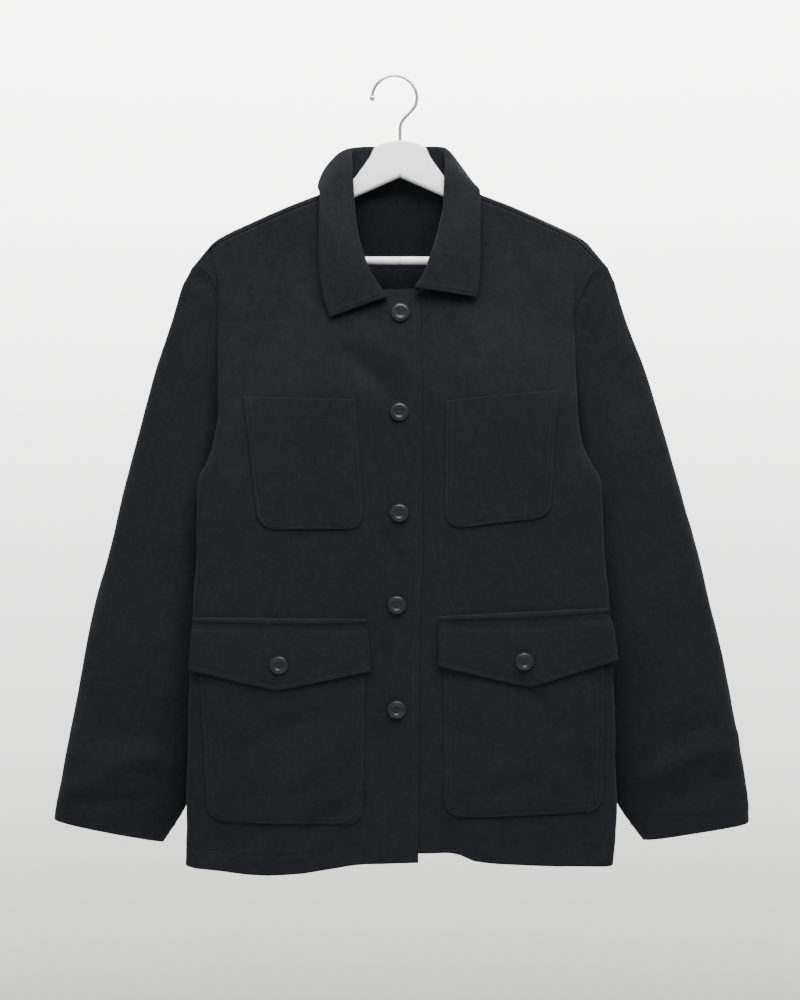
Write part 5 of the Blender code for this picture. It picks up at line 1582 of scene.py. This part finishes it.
# --- sub-assemblies ----------------------------------------------------------------------------
@dataclass
class Workshop:
    """The finishes and the stitcher that the sub-assemblies share."""

    twill: Material
    stitcher: Stitcher
    buttonhole: Material
    button: Material
    paint: Material
    chrome: Material
    made: list[str] = field(default_factory=list)

    @classmethod
    def stocked(cls) -> Workshop:
        """A workshop with all its finishes made."""
        weave, wear = weave_group(), wear_group()
        twill = TwillFinish("washed_twill", TWILL_COLOUR, 0.92).make(weave, wear)
        thread = ThreadFinish("sewing_thread", THREAD_COLOUR, 0.75).make(wear)
        buttonhole = ThreadFinish("buttonhole_thread", BUTTONHOLE_COLOUR, 0.85).make(wear)
        button = SmoothFinish("button_plastic", (0.012, 0.013, 0.015), 0.27, scuffs=0.1,
                              cloud_scale=220.0, shine=0.3).make()
        paint = SmoothFinish("satin_white_paint", (0.92, 0.92, 0.90), 0.36, scuffs=0.1,
                             waviness=0.00025, coat=0.25, joint_below=WOOD_APEX + 8).make()
        chrome = SmoothFinish("bright_plating", (0.72, 0.72, 0.74), 0.10, metallic=1.0,
                              scuffs=0.08, cloud_scale=120.0).make()
        return cls(twill, Stitcher(thread), buttonhole, button, paint, chrome)

    def hand_over(self, piece: Object, slot: str, *nodes: str) -> None:
        """Ride a piece on the row's body, with the nodes that it stands for."""
        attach(piece, BODY_NAME)
        if nodes:
            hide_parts(*nodes)
        self.made.append(piece.name)
        LOG.info("%s: %d faces", piece.name, len(piece.data.polygons))

    def cloth(self, sheet: ClothSheet, lines: Sequence[Line], rests_on: Sequence[str],
              extra: Sequence[Object] = ()) -> Object:
        """Args:
            sheet: the cloth, named as the node that it stands for.
            lines: the rows of stitching on it.
            rests_on: the nodes that it hangs from or is sewn to; not used.
            extra: more stitched pieces that lie on it.

        Returns:
            The cloth's piece.
        """
        node = sheet.name
        sheet.name = node + "_cloth"
        piece = sheet.build(self.twill)
        self.hand_over(piece, "twill", node)
        sewn = [self.stitcher.sew(sheet, lines)] if lines else []
        for thread in (*sewn, *extra):
            self.hand_over(thread, "twill")
        return piece


def towards_start(count: int, pull: float = 0.75) -> Array:
    """Shares from 0 to 1 that lie closer together near 0."""
    even = np.linspace(0, 1, count)
    return even - pull * np.sin(np.pi * even) / np.pi


@dataclass
class BodyPanels:
    """The two fronts and the two halves of the back."""

    hem_turn: float = 20.0
    edge_row: float = 6.0
    seam_row: float = 4.5
    across: Array = field(default_factory=lambda: np.concatenate([
        0.8 * towards_start(82), np.linspace(0.8, 1, 11)[1:], 2 - towards_start(30)[::-1][1:]]))
    up: Array = field(default_factory=lambda: np.concatenate([
        UNDERARM_ROW * towards_start(92), 1 - towards_start(88)[::-1][1:] * (1 - UNDERARM_ROW)]))
    back_up: Array = field(default_factory=lambda: np.concatenate([
        UNDERARM_ROW * towards_start(74), np.linspace(UNDERARM_ROW, RIDGE_ROWS, 56)[1:],
        np.linspace(RIDGE_ROWS, 1, 14)[1:]]))
    armhole_from: float = 0.54
    buttonhole: tuple[float, float] = (8.5, 16.5)
    slit: float = 1.05

    def build(self, shop: Workshop) -> None:
        """Make and dress all four panels."""
        for side in Side:
            self.front(side, shop)
            self.back(side, shop)

    def front(self, side: Side, shop: Workshop) -> None:
        """One front with its edge, hem, shoulder and armhole stitching."""
        grid = front_grid(side, self.across, self.up)
        corner = np.interp(CORNER_ROW, self.up, np.arange(len(self.up)))
        sheet = ClothSheet(f"front_{side.value}", grid, CLOTH, side is Side.RIGHT,
                           flat_of(grid), seed=3 + len(side.value), neckline_from=int(corner) - 1,
                           seams=(Edge.LAST_ROW, Edge.LAST_COLUMN),
                           pressed=((Edge.FIRST_ROW, self.hem_turn),
                                    (Edge.FIRST_COLUMN, self.edge_row)))
        lines = [sheet.inset(Edge.FIRST_ROW, self.hem_turn, 0.004),
                 self.part_of(sheet.inset(Edge.FIRST_COLUMN, self.edge_row), 0, corner),
                 sheet.inset(Edge.LAST_ROW, self.seam_row, *SHORT)]
        extra = [self.buttonholes(shop)] if side is Side.RIGHT else []
        shop.cloth(sheet, lines, ["hanger_wood"], extra)

    @staticmethod
    def part_of(line: Line, first: float, last: float) -> Line:
        """The part of an up-and-down line between two rows."""
        keep = (line.row >= first) & (line.row <= last)
        return Line(line.row[keep], line.col[keep])

    def buttonholes(self, shop: Workshop) -> Object:
        """Level buttonholes beside the front buttons, in close stitches round a slit."""
        points, facing = [], []
        for place in FRONT_BUTTONS:
            x = np.linspace(*self.buttonhole, 9) - place.x
            for z in (place.z - self.slit, place.z + self.slit):
                points.append(FORM.front_point(x, z, Side.RIGHT, 0.25))
                facing.append(FORM.front_point(x, z, Side.RIGHT, 1.25) - points[-1])
        mesh = shop.stitcher.run("buttonholes", points, facing, BUTTONHOLE_THREAD)
        return place_object("buttonholes", mesh, shop.buttonhole)

    def back(self, side: Side, shop: Workshop) -> None:
        """One half of the back with its hem, middle seam and armhole stitching."""
        grid = back_grid(side, self.across, self.back_up)
        sheet = ClothSheet(f"back_{side.value}", grid, CLOTH, side is Side.LEFT, flat_of(grid),
                           seed=13 + len(side.value),
                           seams=(Edge.LAST_ROW, Edge.LAST_COLUMN, Edge.FIRST_COLUMN),
                           pressed=((Edge.FIRST_ROW, self.hem_turn),))
        count = len(self.back_up)
        neck = np.interp(NECK_ROW, self.back_up, np.arange(count))
        lines = [sheet.inset(Edge.FIRST_ROW, self.hem_turn),
                 self.part_of(sheet.inset(Edge.FIRST_COLUMN, self.seam_row), 0, neck),
                 sheet.inset(Edge.LAST_ROW, self.seam_row, *SHORT),
                 self.part_of(sheet.inset(Edge.LAST_COLUMN, self.seam_row),
                              count * self.armhole_from, count)]
        shop.cloth(sheet, lines, ["hanger_wood"])


@dataclass
class Sleeves:
    """Both sleeves, open at the cuffs."""

    around: Array = field(default_factory=lambda: 0.5 + closer_to_ends(128, 0.6))
    down: Array = field(default_factory=lambda: closer_to_ends(150, 0.6))
    cuff_turn: float = 22.0

    def build(self, shop: Workshop) -> None:
        """Make and dress both sleeves."""
        for side in Side:
            form = SleeveForm(side)
            grid = form.grid(self.around, self.down)
            down, around = np.meshgrid(self.down, self.around, indexing="ij")
            sheet = ClothSheet(f"sleeve_{side.value}", grid, CLOTH, side is Side.LEFT,
                               (around * form.girth, down * form.length),
                               drape=form.drape(self.around, self.down),
                               seams=(Edge.FIRST_ROW, Edge.FIRST_COLUMN, Edge.LAST_COLUMN),
                               pressed=((Edge.LAST_ROW, self.cuff_turn),))
            lines = [sheet.inset(Edge.LAST_ROW, self.cuff_turn),
                     sheet.inset(Edge.LAST_ROW, self.cuff_turn + 3)]
            shop.cloth(sheet, lines, [f"front_{side.value}", f"back_{side.value}"])


@dataclass
class Collar:
    """The collar with its points."""

    form: CollarForm = field(default_factory=CollarForm)
    along: Array = field(default_factory=lambda: 1 - towards_start(76)[::-1])
    over: Array = field(default_factory=lambda: 2 * closer_to_ends(58, 0.6))
    edge_row: float = 5.0
    softness: float = 0.45

    def build(self, shop: Workshop) -> None:
        """Make and dress the collar."""
        right = self.form.half(Side.RIGHT, self.along[:0:-1], self.over)
        left = self.form.half(Side.LEFT, self.along, self.over)
        grid = np.concatenate([right, left])
        flat = flat_of(grid)
        fallen = ease(self.over, 1.0, 1.5)[None, :]
        drape = self.softness * ripple(*flat, 55, 91) * fallen
        rows = tuple((edge, self.edge_row) for edge in (Edge.FIRST_ROW, Edge.LAST_ROW,
                                                        Edge.LAST_COLUMN))
        sheet = ClothSheet("collar", grid, DOUBLE_CLOTH, False, flat, drape=drape, pucker=0.2,
                           pressed=rows)
        roll = np.interp(1.08, self.over, np.arange(len(self.over)))
        ends = [sheet.inset(edge, self.edge_row) for edge in (Edge.FIRST_ROW, Edge.LAST_ROW)]
        lines = [sheet.inset(Edge.LAST_COLUMN, self.edge_row, 0.012, 0.988)]
        for end in ends:
            keep = (end.col >= roll) & (end.col <= lines[0].col.max())
            lines.append(Line(end.row[keep], end.col[keep]))
        shop.cloth(sheet, lines, ["front_right", "front_left", "back_right", "back_left"])


@dataclass
class Pockets:
    """Two chest patch pockets, two lower ones and the flaps over these."""

    mouth_turn: float = 19.0
    rows: tuple[float, float] = (2.2, 7.0)
    flap_row: float = 5.5
    tuck_row: float = 8.5
    tuck: float = 0.12  # of the flap's height, with a finer mesh
    mesh_across: int = 70
    foot_rows: int = 16
    solve_steps: int = 12
    stitched_down: tuple[tuple[Edge, float], ...] = (
        (Edge.FIRST_COLUMN, 4.5), (Edge.LAST_COLUMN, 4.5), (Edge.LAST_ROW, 4.5))

    def build(self, shop: Workshop) -> None:
        """Make and dress all four pockets and both flaps."""
        for side in Side:
            chest = PatchForm(side, CHEST_POCKET[side.value])
            self.patch(f"chest_pocket_{side.value}", chest, shop, self.mouth_turn)
            lower = PatchForm(side, LOWER_POCKET[side.value], mouth=0.0)
            self.patch(f"lower_pocket_{side.value}", lower, shop, None)
            self.flap(FlapForm(side, FLAP[side.value]), shop)

    def patch(self, name: str, form: PatchForm, shop: Workshop, mouth: float | None) -> None:
        """One patch pocket with a double row of stitching round it."""
        across = closer_to_ends(self.mesh_across, 0.7)
        height = form.size.top_in.z - form.size.low_in.z
        straight = 1 - form.size.round_by / height
        foot = straight + (1 - straight) * np.sin(np.linspace(0, np.pi / 2, self.foot_rows))
        down = np.concatenate([straight * towards_start(60), foot[1:]])
        grid = form.grid(across, down, CLOTH)
        sheet = ClothSheet(name, grid, CLOTH - 0.1, form.side is Side.LEFT, flat_of(grid),
                           pucker=0.34, seed=len(name), pressed=self.stitched_down)
        lines = [self.border(form, across, down, inset) for inset in self.rows]
        if mouth is not None:
            lines.append(sheet.inset(Edge.FIRST_ROW, mouth, *SHORT))
        shop.cloth(sheet, lines, [f"front_{form.side.value}"])

    def border(self, form: PatchForm, across: Array, down: Array, inset: float) -> Line:
        """A line round the sides and foot of a pocket, a set distance in."""
        steps = np.linspace(0.01, 1, 60)
        foot = down[-self.foot_rows:]
        curve = np.concatenate([steps * foot[0], foot])
        inner, outer = (np.stack(form.outline(np.full_like(curve, end), curve), axis=1)
                        for end in (0, 1))
        path = np.concatenate([inner, outer[::-1]])
        way = unit(np.gradient(path, axis=0))
        path = path + inset * np.stack([-way[:, 1], way[:, 0]], axis=1)
        none, all_of = np.zeros(len(path)), np.ones(len(path))
        at_down = np.full(len(path), 0.5)
        for _ in range(self.solve_steps):
            at_across = share_of(path[:, 0], form.outline(none, at_down).x,
                                 form.outline(all_of, at_down).x)
            at_down = share_of(path[:, 1], form.outline(at_across, none).z,
                               form.outline(at_across, all_of).z)
        return Line(np.interp(at_down, down, np.arange(len(down))),
                    np.interp(at_across, across, np.arange(len(across))))

    def flap(self, form: FlapForm, shop: Workshop) -> None:
        """One flap, stitched along its tuck and round its edges."""
        across = closer_to_ends(84, 0.6)
        down = np.concatenate([np.linspace(0, self.tuck, 12),
                               1 - (1 - self.tuck) * towards_start(38)[::-1][1:]])
        grid = form.grid(across, down, DOUBLE_CLOTH)
        sheet = ClothSheet(f"pocket_flap_{form.side.value}", grid, DOUBLE_CLOTH,
                           form.side is Side.LEFT, flat_of(grid), pucker=0.22, seed=8,
                           pressed=tuple((edge, self.flap_row) for edge in Edge
                                         if edge is not Edge.FIRST_ROW))
        low = np.interp(0.88, down, np.arange(len(down)))
        high = np.interp(0.13, down, np.arange(len(down)))
        sides = [sheet.inset(edge, self.flap_row) for edge in (Edge.FIRST_COLUMN,
                                                               Edge.LAST_COLUMN)]
        lines = [BodyPanels.part_of(line, high, low) for line in sides]
        lines.append(sheet.inset(Edge.LAST_ROW, self.flap_row, 0.03, 0.97))
        lines.append(sheet.inset(Edge.FIRST_ROW, self.tuck_row, 0.01, 0.99))
        shop.cloth(sheet, lines, [f"front_{form.side.value}"])


@dataclass
class Buttons:
    """Four-hole buttons on the front and the flaps, each with its thread."""

    diameter: float = 20.0
    thick: float = 3.6
    rim: float = 4.9
    dish: float = 1.4
    hole: float = 1.7
    pitch: float = 3.5
    lift: float = 0.45
    flap_lift: float = 0.6
    strand: float = 0.75
    strand_rise: float = 0.42
    shank: tuple[float, float, float] = (2.2, 1.8, 1.4)  # radius below and above, height
    clear: float = 0.3  # of its diameter, a leaning button's lift off the cloth
    turns: tuple[float, float, float] = (-8.0, 3.0, 14.0)
    upright: float = 0.3  # share of the cloth's own slope that a front button keeps

    def profile(self) -> list[tuple[float, float]]:
        """Half the button's section, as radius and height."""
        radius, top = self.diameter / 2, self.thick
        low, rim = top - self.dish, self.rim
        return [(0, 0), (radius - 2.4, 0), (radius - 1.0, 0.35), (radius - 0.2, 1.2),
                (radius, 1.9), (radius - 0.1, top - 1.1), (radius - 0.35, top - 0.8),
                (radius - 0.8, top - 0.72), (radius - 1.2, top - 0.8), (radius - 1.6, top - 0.62),
                (radius - 2.2, top - 0.2), (radius - 3.0, top), (radius - 3.9, top - 0.08),
                (radius - rim + 0.3, top - 0.4), (radius - rim, top - 0.75),
                (radius - rim - 0.5, low + 0.1), (radius - rim - 1.2, low), (0, low - 0.12)]

    def blank(self) -> Object:
        """The turned button before its holes are drilled."""
        mesh = bmesh.new()
        points = [mesh.verts.new((r * MM, 0, h * MM)) for r, h in self.profile()]
        outline = [mesh.edges.new(pair) for pair in zip(points, points[1:])]
        bmesh.ops.spin(mesh, geom=points + outline, axis=(0, 0, 1), cent=(0, 0, 0),
                       angle=2 * math.pi, steps=48)
        bmesh.ops.remove_doubles(mesh, verts=mesh.verts, dist=0.01 * MM)
        bmesh.ops.recalc_face_normals(mesh, faces=mesh.faces)
        return in_scene("button_blank", mesh_of("button_blank", mesh))

    def drilled(self) -> Mesh:
        """The finished button, its back on the origin and its face along +Z."""
        blank = self.blank()
        drills = bmesh.new()
        half = self.pitch / 2
        for x, y in product((-half, half), repeat=2):
            cylinder(drills, self.hole / 2, 4 * self.thick, 16, moved_to(x, y, 0))
        drill = in_scene("button_drills", mesh_of("button_drills", drills))
        cut = blank.modifiers.new("holes", "BOOLEAN")
        cut.operation, cut.solver, cut.object = "DIFFERENCE", "EXACT", drill
        mesh = evaluated(blank)
        bpy.data.objects.remove(drill, do_unlink=True)
        return mesh

    def thread(self) -> Mesh:
        """The strands over the button's face and the shank below it."""
        mesh = bmesh.new()
        half, top = self.pitch / 2, self.thick - self.dish + 0.1
        rise = self.strand_rise
        strand = Matrix.Diagonal((self.strand / 2, half + 0.5, rise, 1))
        for x, off in product((-half, half), (-rise, rise)):
            bmesh.ops.create_uvsphere(mesh, u_segments=10, v_segments=8, radius=MM,
                                      matrix=moved_to(x + off, 0, top) @ strand)
        low, high, height = self.shank
        cylinder(mesh, low, height, 12, moved_to(0, 0, -0.1), top=high)
        return mesh_of("button_thread", mesh)

    def build(self, shop: Workshop) -> None:
        """Sew all the buttons on."""
        button, thread = self.drilled(), self.thread()
        places = {}
        for number, place in enumerate(FRONT_BUTTONS, start=1):
            low, high = FORM.front_point(-place.x, place.z, Side.RIGHT, np.array([0.0, 1.0]))
            way = unit((high - low) * [1, 1, self.upright])
            lean = np.linalg.norm(way - (high - low)) * self.diameter * self.clear
            places[f"front_button_{number}"] = (low + (self.lift + lean) * way, way)
        for side in Side:
            form = FlapForm(side, FLAP[side.value])
            base, way = form.button_place(FLAP_BUTTONS[side.value])
            places[f"flap_button_{side.value}"] = (base + self.flap_lift * way, way)
        for index, (node, (base, way)) in enumerate(places.items()):
            seat = moved_to(base[0] + MIDDLE_X, base[1], base[2])
            seat = seat @ Vector(way).to_track_quat("Z", "Y").to_matrix().to_4x4()
            seat = seat @ Matrix.Rotation(math.radians(self.turns[index % 3]), 4, "Z")
            for mesh, finish, tail in ((button, shop.button, "_plastic"),
                                       (thread, shop.stitcher.thread, "_thread")):
                copy = mesh.copy()
                copy.transform(seat)
                piece = place_object(node + tail, copy, finish)
                if mesh is button:
                    copy.set_sharp_from_angle(angle=SHARP)
                    shop.hand_over(piece, "button", node)
                else:
                    shop.hand_over(piece, "twill")


@dataclass
class Hanger:
    """The painted wooden hanger with its bar and wire hook."""

    thick: float = 12.0
    rounding: float = 3.4
    bar_diameter: float = 9.0
    bar_height: float = -202.0
    bar_half: float = 181.0
    wire: float = 3.3
    arc_radius: float = 24.5
    arc_offset: float = 6.0
    arc_turn: tuple[float, float] = (-21.0, 181.5)
    ball: float = 6.0
    stem: tuple[tuple[float, float], ...] = ((0.0, -71), (0.0, -58.0), (0.6, -53.0),
                                             (2.6, -48.2), (5.8, -44.2), (10.0, -40.0),
                                             (13.8, -35.9))

    def outline(self) -> Array:
        """The wood's outline as smooth curves between its two crisp corners."""
        half = np.concatenate([along_path(WOOD, np.linspace(0, 1, 150)), [[0, WOOD_APEX]]])
        return np.concatenate([half, half[-2:0:-1] * [-1, 1]])

    def wood(self, shop: Workshop) -> None:
        """The shaped body, its edges rounded by hand sanding."""
        mesh = bmesh.new()
        front = [mesh.verts.new(((x + MIDDLE_X) * MM, -self.thick / 2 * MM, z * MM))
                 for x, z in self.outline()]
        face = mesh.faces.new(front)
        raised = bmesh.ops.extrude_face_region(mesh, geom=[face])["geom"]
        moved = [part for part in raised if isinstance(part, bmesh.types.BMVert)]
        bmesh.ops.translate(mesh, verts=moved, vec=(0, self.thick * MM, 0))
        bmesh.ops.recalc_face_normals(mesh, faces=mesh.faces)
        blank = in_scene("wood_blank", mesh_of("wood_blank", mesh))
        bevel = blank.modifiers.new("rounded", "BEVEL")
        bevel.width, bevel.segments = self.rounding * MM, 5
        bevel.limit_method, bevel.angle_limit = "ANGLE", math.radians(60)
        shaped = evaluated(blank)
        piece = place_object("hanger_wood_shaped", shaped, shop.paint)
        shaped.set_sharp_from_angle(angle=SHARP)
        shop.hand_over(piece, "white_paint", "hanger_wood")

    def bar(self, shop: Workshop) -> None:
        """The round trouser bar between the arms."""
        mesh = bmesh.new()
        turn = moved_to(MIDDLE_X, 0, self.bar_height) @ Matrix.Rotation(math.pi / 2, 4, "Y")
        cylinder(mesh, self.bar_diameter / 2, 2 * self.bar_half, 40, turn)
        data = mesh_of("hanger_bar_round", mesh)
        piece = place_object("hanger_bar_round", data, shop.paint)
        data.set_sharp_from_angle(angle=math.radians(50))
        shop.hand_over(piece, "white_paint", "hanger_bar")

    def hook(self, shop: Workshop) -> None:
        """The bent wire with the ball at its tip."""
        swing = np.radians(np.linspace(*self.arc_turn, 60))
        arc = [(-self.arc_offset + self.arc_radius * math.cos(a),
                -self.arc_radius + self.wire / 2 + self.arc_radius * math.sin(a)) for a in swing]
        stem = along_path(self.stem + (arc[0],), np.linspace(0, 0.985, 40))
        path = [*map(tuple, stem), *arc]
        curve = bpy.data.curves.new("hook_wire", "CURVE")
        curve.dimensions, curve.use_fill_caps = "3D", True
        curve.bevel_depth, curve.bevel_resolution = self.wire / 2 * MM, 6
        wire = curve.splines.new("POLY")
        wire.points.add(len(path) - 1)
        for point, (x, z) in zip(wire.points, path):
            point.co = ((x + MIDDLE_X) * MM, 0, z * MM, 1)
        mesh = evaluated(in_scene("hook_wire", curve))
        whole = bmesh.new()
        whole.from_mesh(mesh)
        bmesh.ops.create_uvsphere(whole, u_segments=32, v_segments=20, radius=self.ball / 2 * MM,
                                  matrix=moved_to(path[-1][0] + MIDDLE_X, 0, path[-1][1]))
        whole.to_mesh(mesh)
        whole.free()
        piece = place_object("hanger_hook_wire", mesh, shop.chrome)
        shop.hand_over(piece, "chrome", "hanger_hook")

    def build(self, shop: Workshop) -> None:
        """Make and dress the hanger."""
        self.wood(shop)
        self.bar(shop)
        self.hook(shop)


# --- the stage -----------------------------------------------------------------------------------
@dataclass
class Studio:
    """A pale floor, soft light all round and the camera at the photo's place."""

    floor_height: float = -1.45
    floor_half: float = 1.5
    camera_place: tuple[float, float, float] = (0.006, -1.9, -0.4653)
    frame_height: float = 1.1
    sensor: float = 24.0
    aim: tuple[float, float, float] = (0.0, 0.0, -0.45)
    # Painted light on the backdrop wall, seen by the camera only: bright at the top, dimmer lower
    # down.
    painted_wall_top: Colour = (7.6, 7.55, 7.4)
    painted_wall_middle: Colour = (3.15, 3.15, 3.1)
    painted_wall_low: Colour = (1.08, 1.07, 1.04)
    room_top: Colour = (1.0, 1.01, 1.05)
    room_low: Colour = (0.17, 0.173, 0.18)
    wall_edge: float = 0.28  # rise of the view where the wall's colours stop changing
    room_edges: tuple[float, float] = (-0.6, 0.9)

    def floor(self) -> None:
        """The floor below the hanging jacket."""
        mesh = bpy.data.meshes.new("studio_floor")
        corners = [(x * self.floor_half, y * self.floor_half, self.floor_height)
                   for x, y in ((-1, -1), (1, -1), (1, 1), (-1, 1))]
        mesh.from_pydata(corners, [], [(0, 1, 2, 3)])
        finish = SmoothFinish("pale_floor", (0.72, 0.72, 0.71), 0.6, cloud_scale=3.0).make()
        place_object("studio_floor", mesh, finish)

    def air(self) -> None:
        """A pale background for the camera, with the fall of light down a studio wall painted in,
        brightest above; other rays get the room's light.
        """
        world = bpy.data.worlds.new("studio_air")
        bpy.context.scene.world = world
        world.use_nodes = True
        kit = NodeKit(world.node_tree)
        way = kit.add("ShaderNodeTexCoord").outputs["Generated"]
        height = kit.add("ShaderNodeSeparateXYZ", {"Vector": way}).outputs["Z"]
        # The camera sees the wall's painted light, falling off from top to bottom.
        seen = self.blend(kit, height, ((-self.wall_edge, self.painted_wall_low), (0.0, self.painted_wall_middle),
                                        (self.wall_edge, self.painted_wall_top)))
        low, high = self.room_edges
        felt = self.blend(kit, height, ((low, self.room_low), (high, self.room_top)))
        camera_ray = kit.add("ShaderNodeLightPath").outputs["Is Camera Ray"]
        air = kit.add("ShaderNodeMix", {"Factor": camera_ray, 4: felt, 5: seen},
                      data_type="VECTOR").outputs[1]
        kit.join(world.node_tree.nodes["Background"], {"Color": air})

    @staticmethod
    def blend(kit: NodeKit, height: NodeSocket,
              stops: Sequence[tuple[float, Colour]]) -> NodeSocket:
        """A colour that changes evenly between the heights given."""
        result = None
        for (low, low_colour), (high, high_colour) in zip(stops, stops[1:]):
            links = {"Factor": kit.add("ShaderNodeMapRange", {"Value": height},
                                       {"From Min": low, "From Max": high}).outputs["Result"]}
            values = {4: low_colour, 5: high_colour}
            if result is not None:
                links[4] = result
                del values[4]
            result = kit.add("ShaderNodeMix", links, values, data_type="VECTOR").outputs[1]
        return result

    def light(self, name: str, place: tuple[float, float, float], size: float,
              power: float, mirrored: bool = True) -> None:
        """A square soft light aimed at the jacket's middle, seen in shiny things or not."""
        lamp = bpy.data.lights.new(name, "AREA")
        lamp.size, lamp.energy = size, power
        holder = in_scene(name, lamp)
        holder.location, holder.visible_glossy = place, mirrored
        aim = Vector(self.aim) - Vector(place)
        holder.rotation_euler = aim.to_track_quat("-Z", "Y").to_euler()

    def camera(self) -> None:
        """The camera, level and in front."""
        lens = bpy.data.cameras.new("photo_camera")
        lens.sensor_fit, lens.sensor_height = "VERTICAL", self.sensor
        lens.lens = self.sensor * -self.camera_place[1] / self.frame_height
        holder = in_scene("photo_camera", lens)
        holder.location, holder.rotation_euler = self.camera_place, (math.pi / 2, 0, 0)
        bpy.context.scene.camera = holder

    def build(self) -> None:
        """Set the whole stage."""
        self.floor()
        self.air()
        self.light("overhead_softbox", (0.2, -1.0, 1.15), 1.5, 80.0)
        self.light("front_softbox", (-1.3, -2.1, 0.2), 1.4, 17.0, False)
        self.light("back_softbox", (0.7, 1.8, 0.6), 1.4, 36.0)
        self.camera()


def main() -> None:
    """Build and dress every piece, set the stage and log how many pieces were made."""
    logging.basicConfig(level=logging.INFO, format="%(message)s")
    shop = Workshop.stocked()
    for assembly in (BodyPanels(), Sleeves(), Collar(), Pockets(), Buttons(), Hanger()):
        assembly.build(shop)
    Studio().build()
    LOG.info("%d pieces", len(shop.made))


if __name__ == "__main__":
    main()
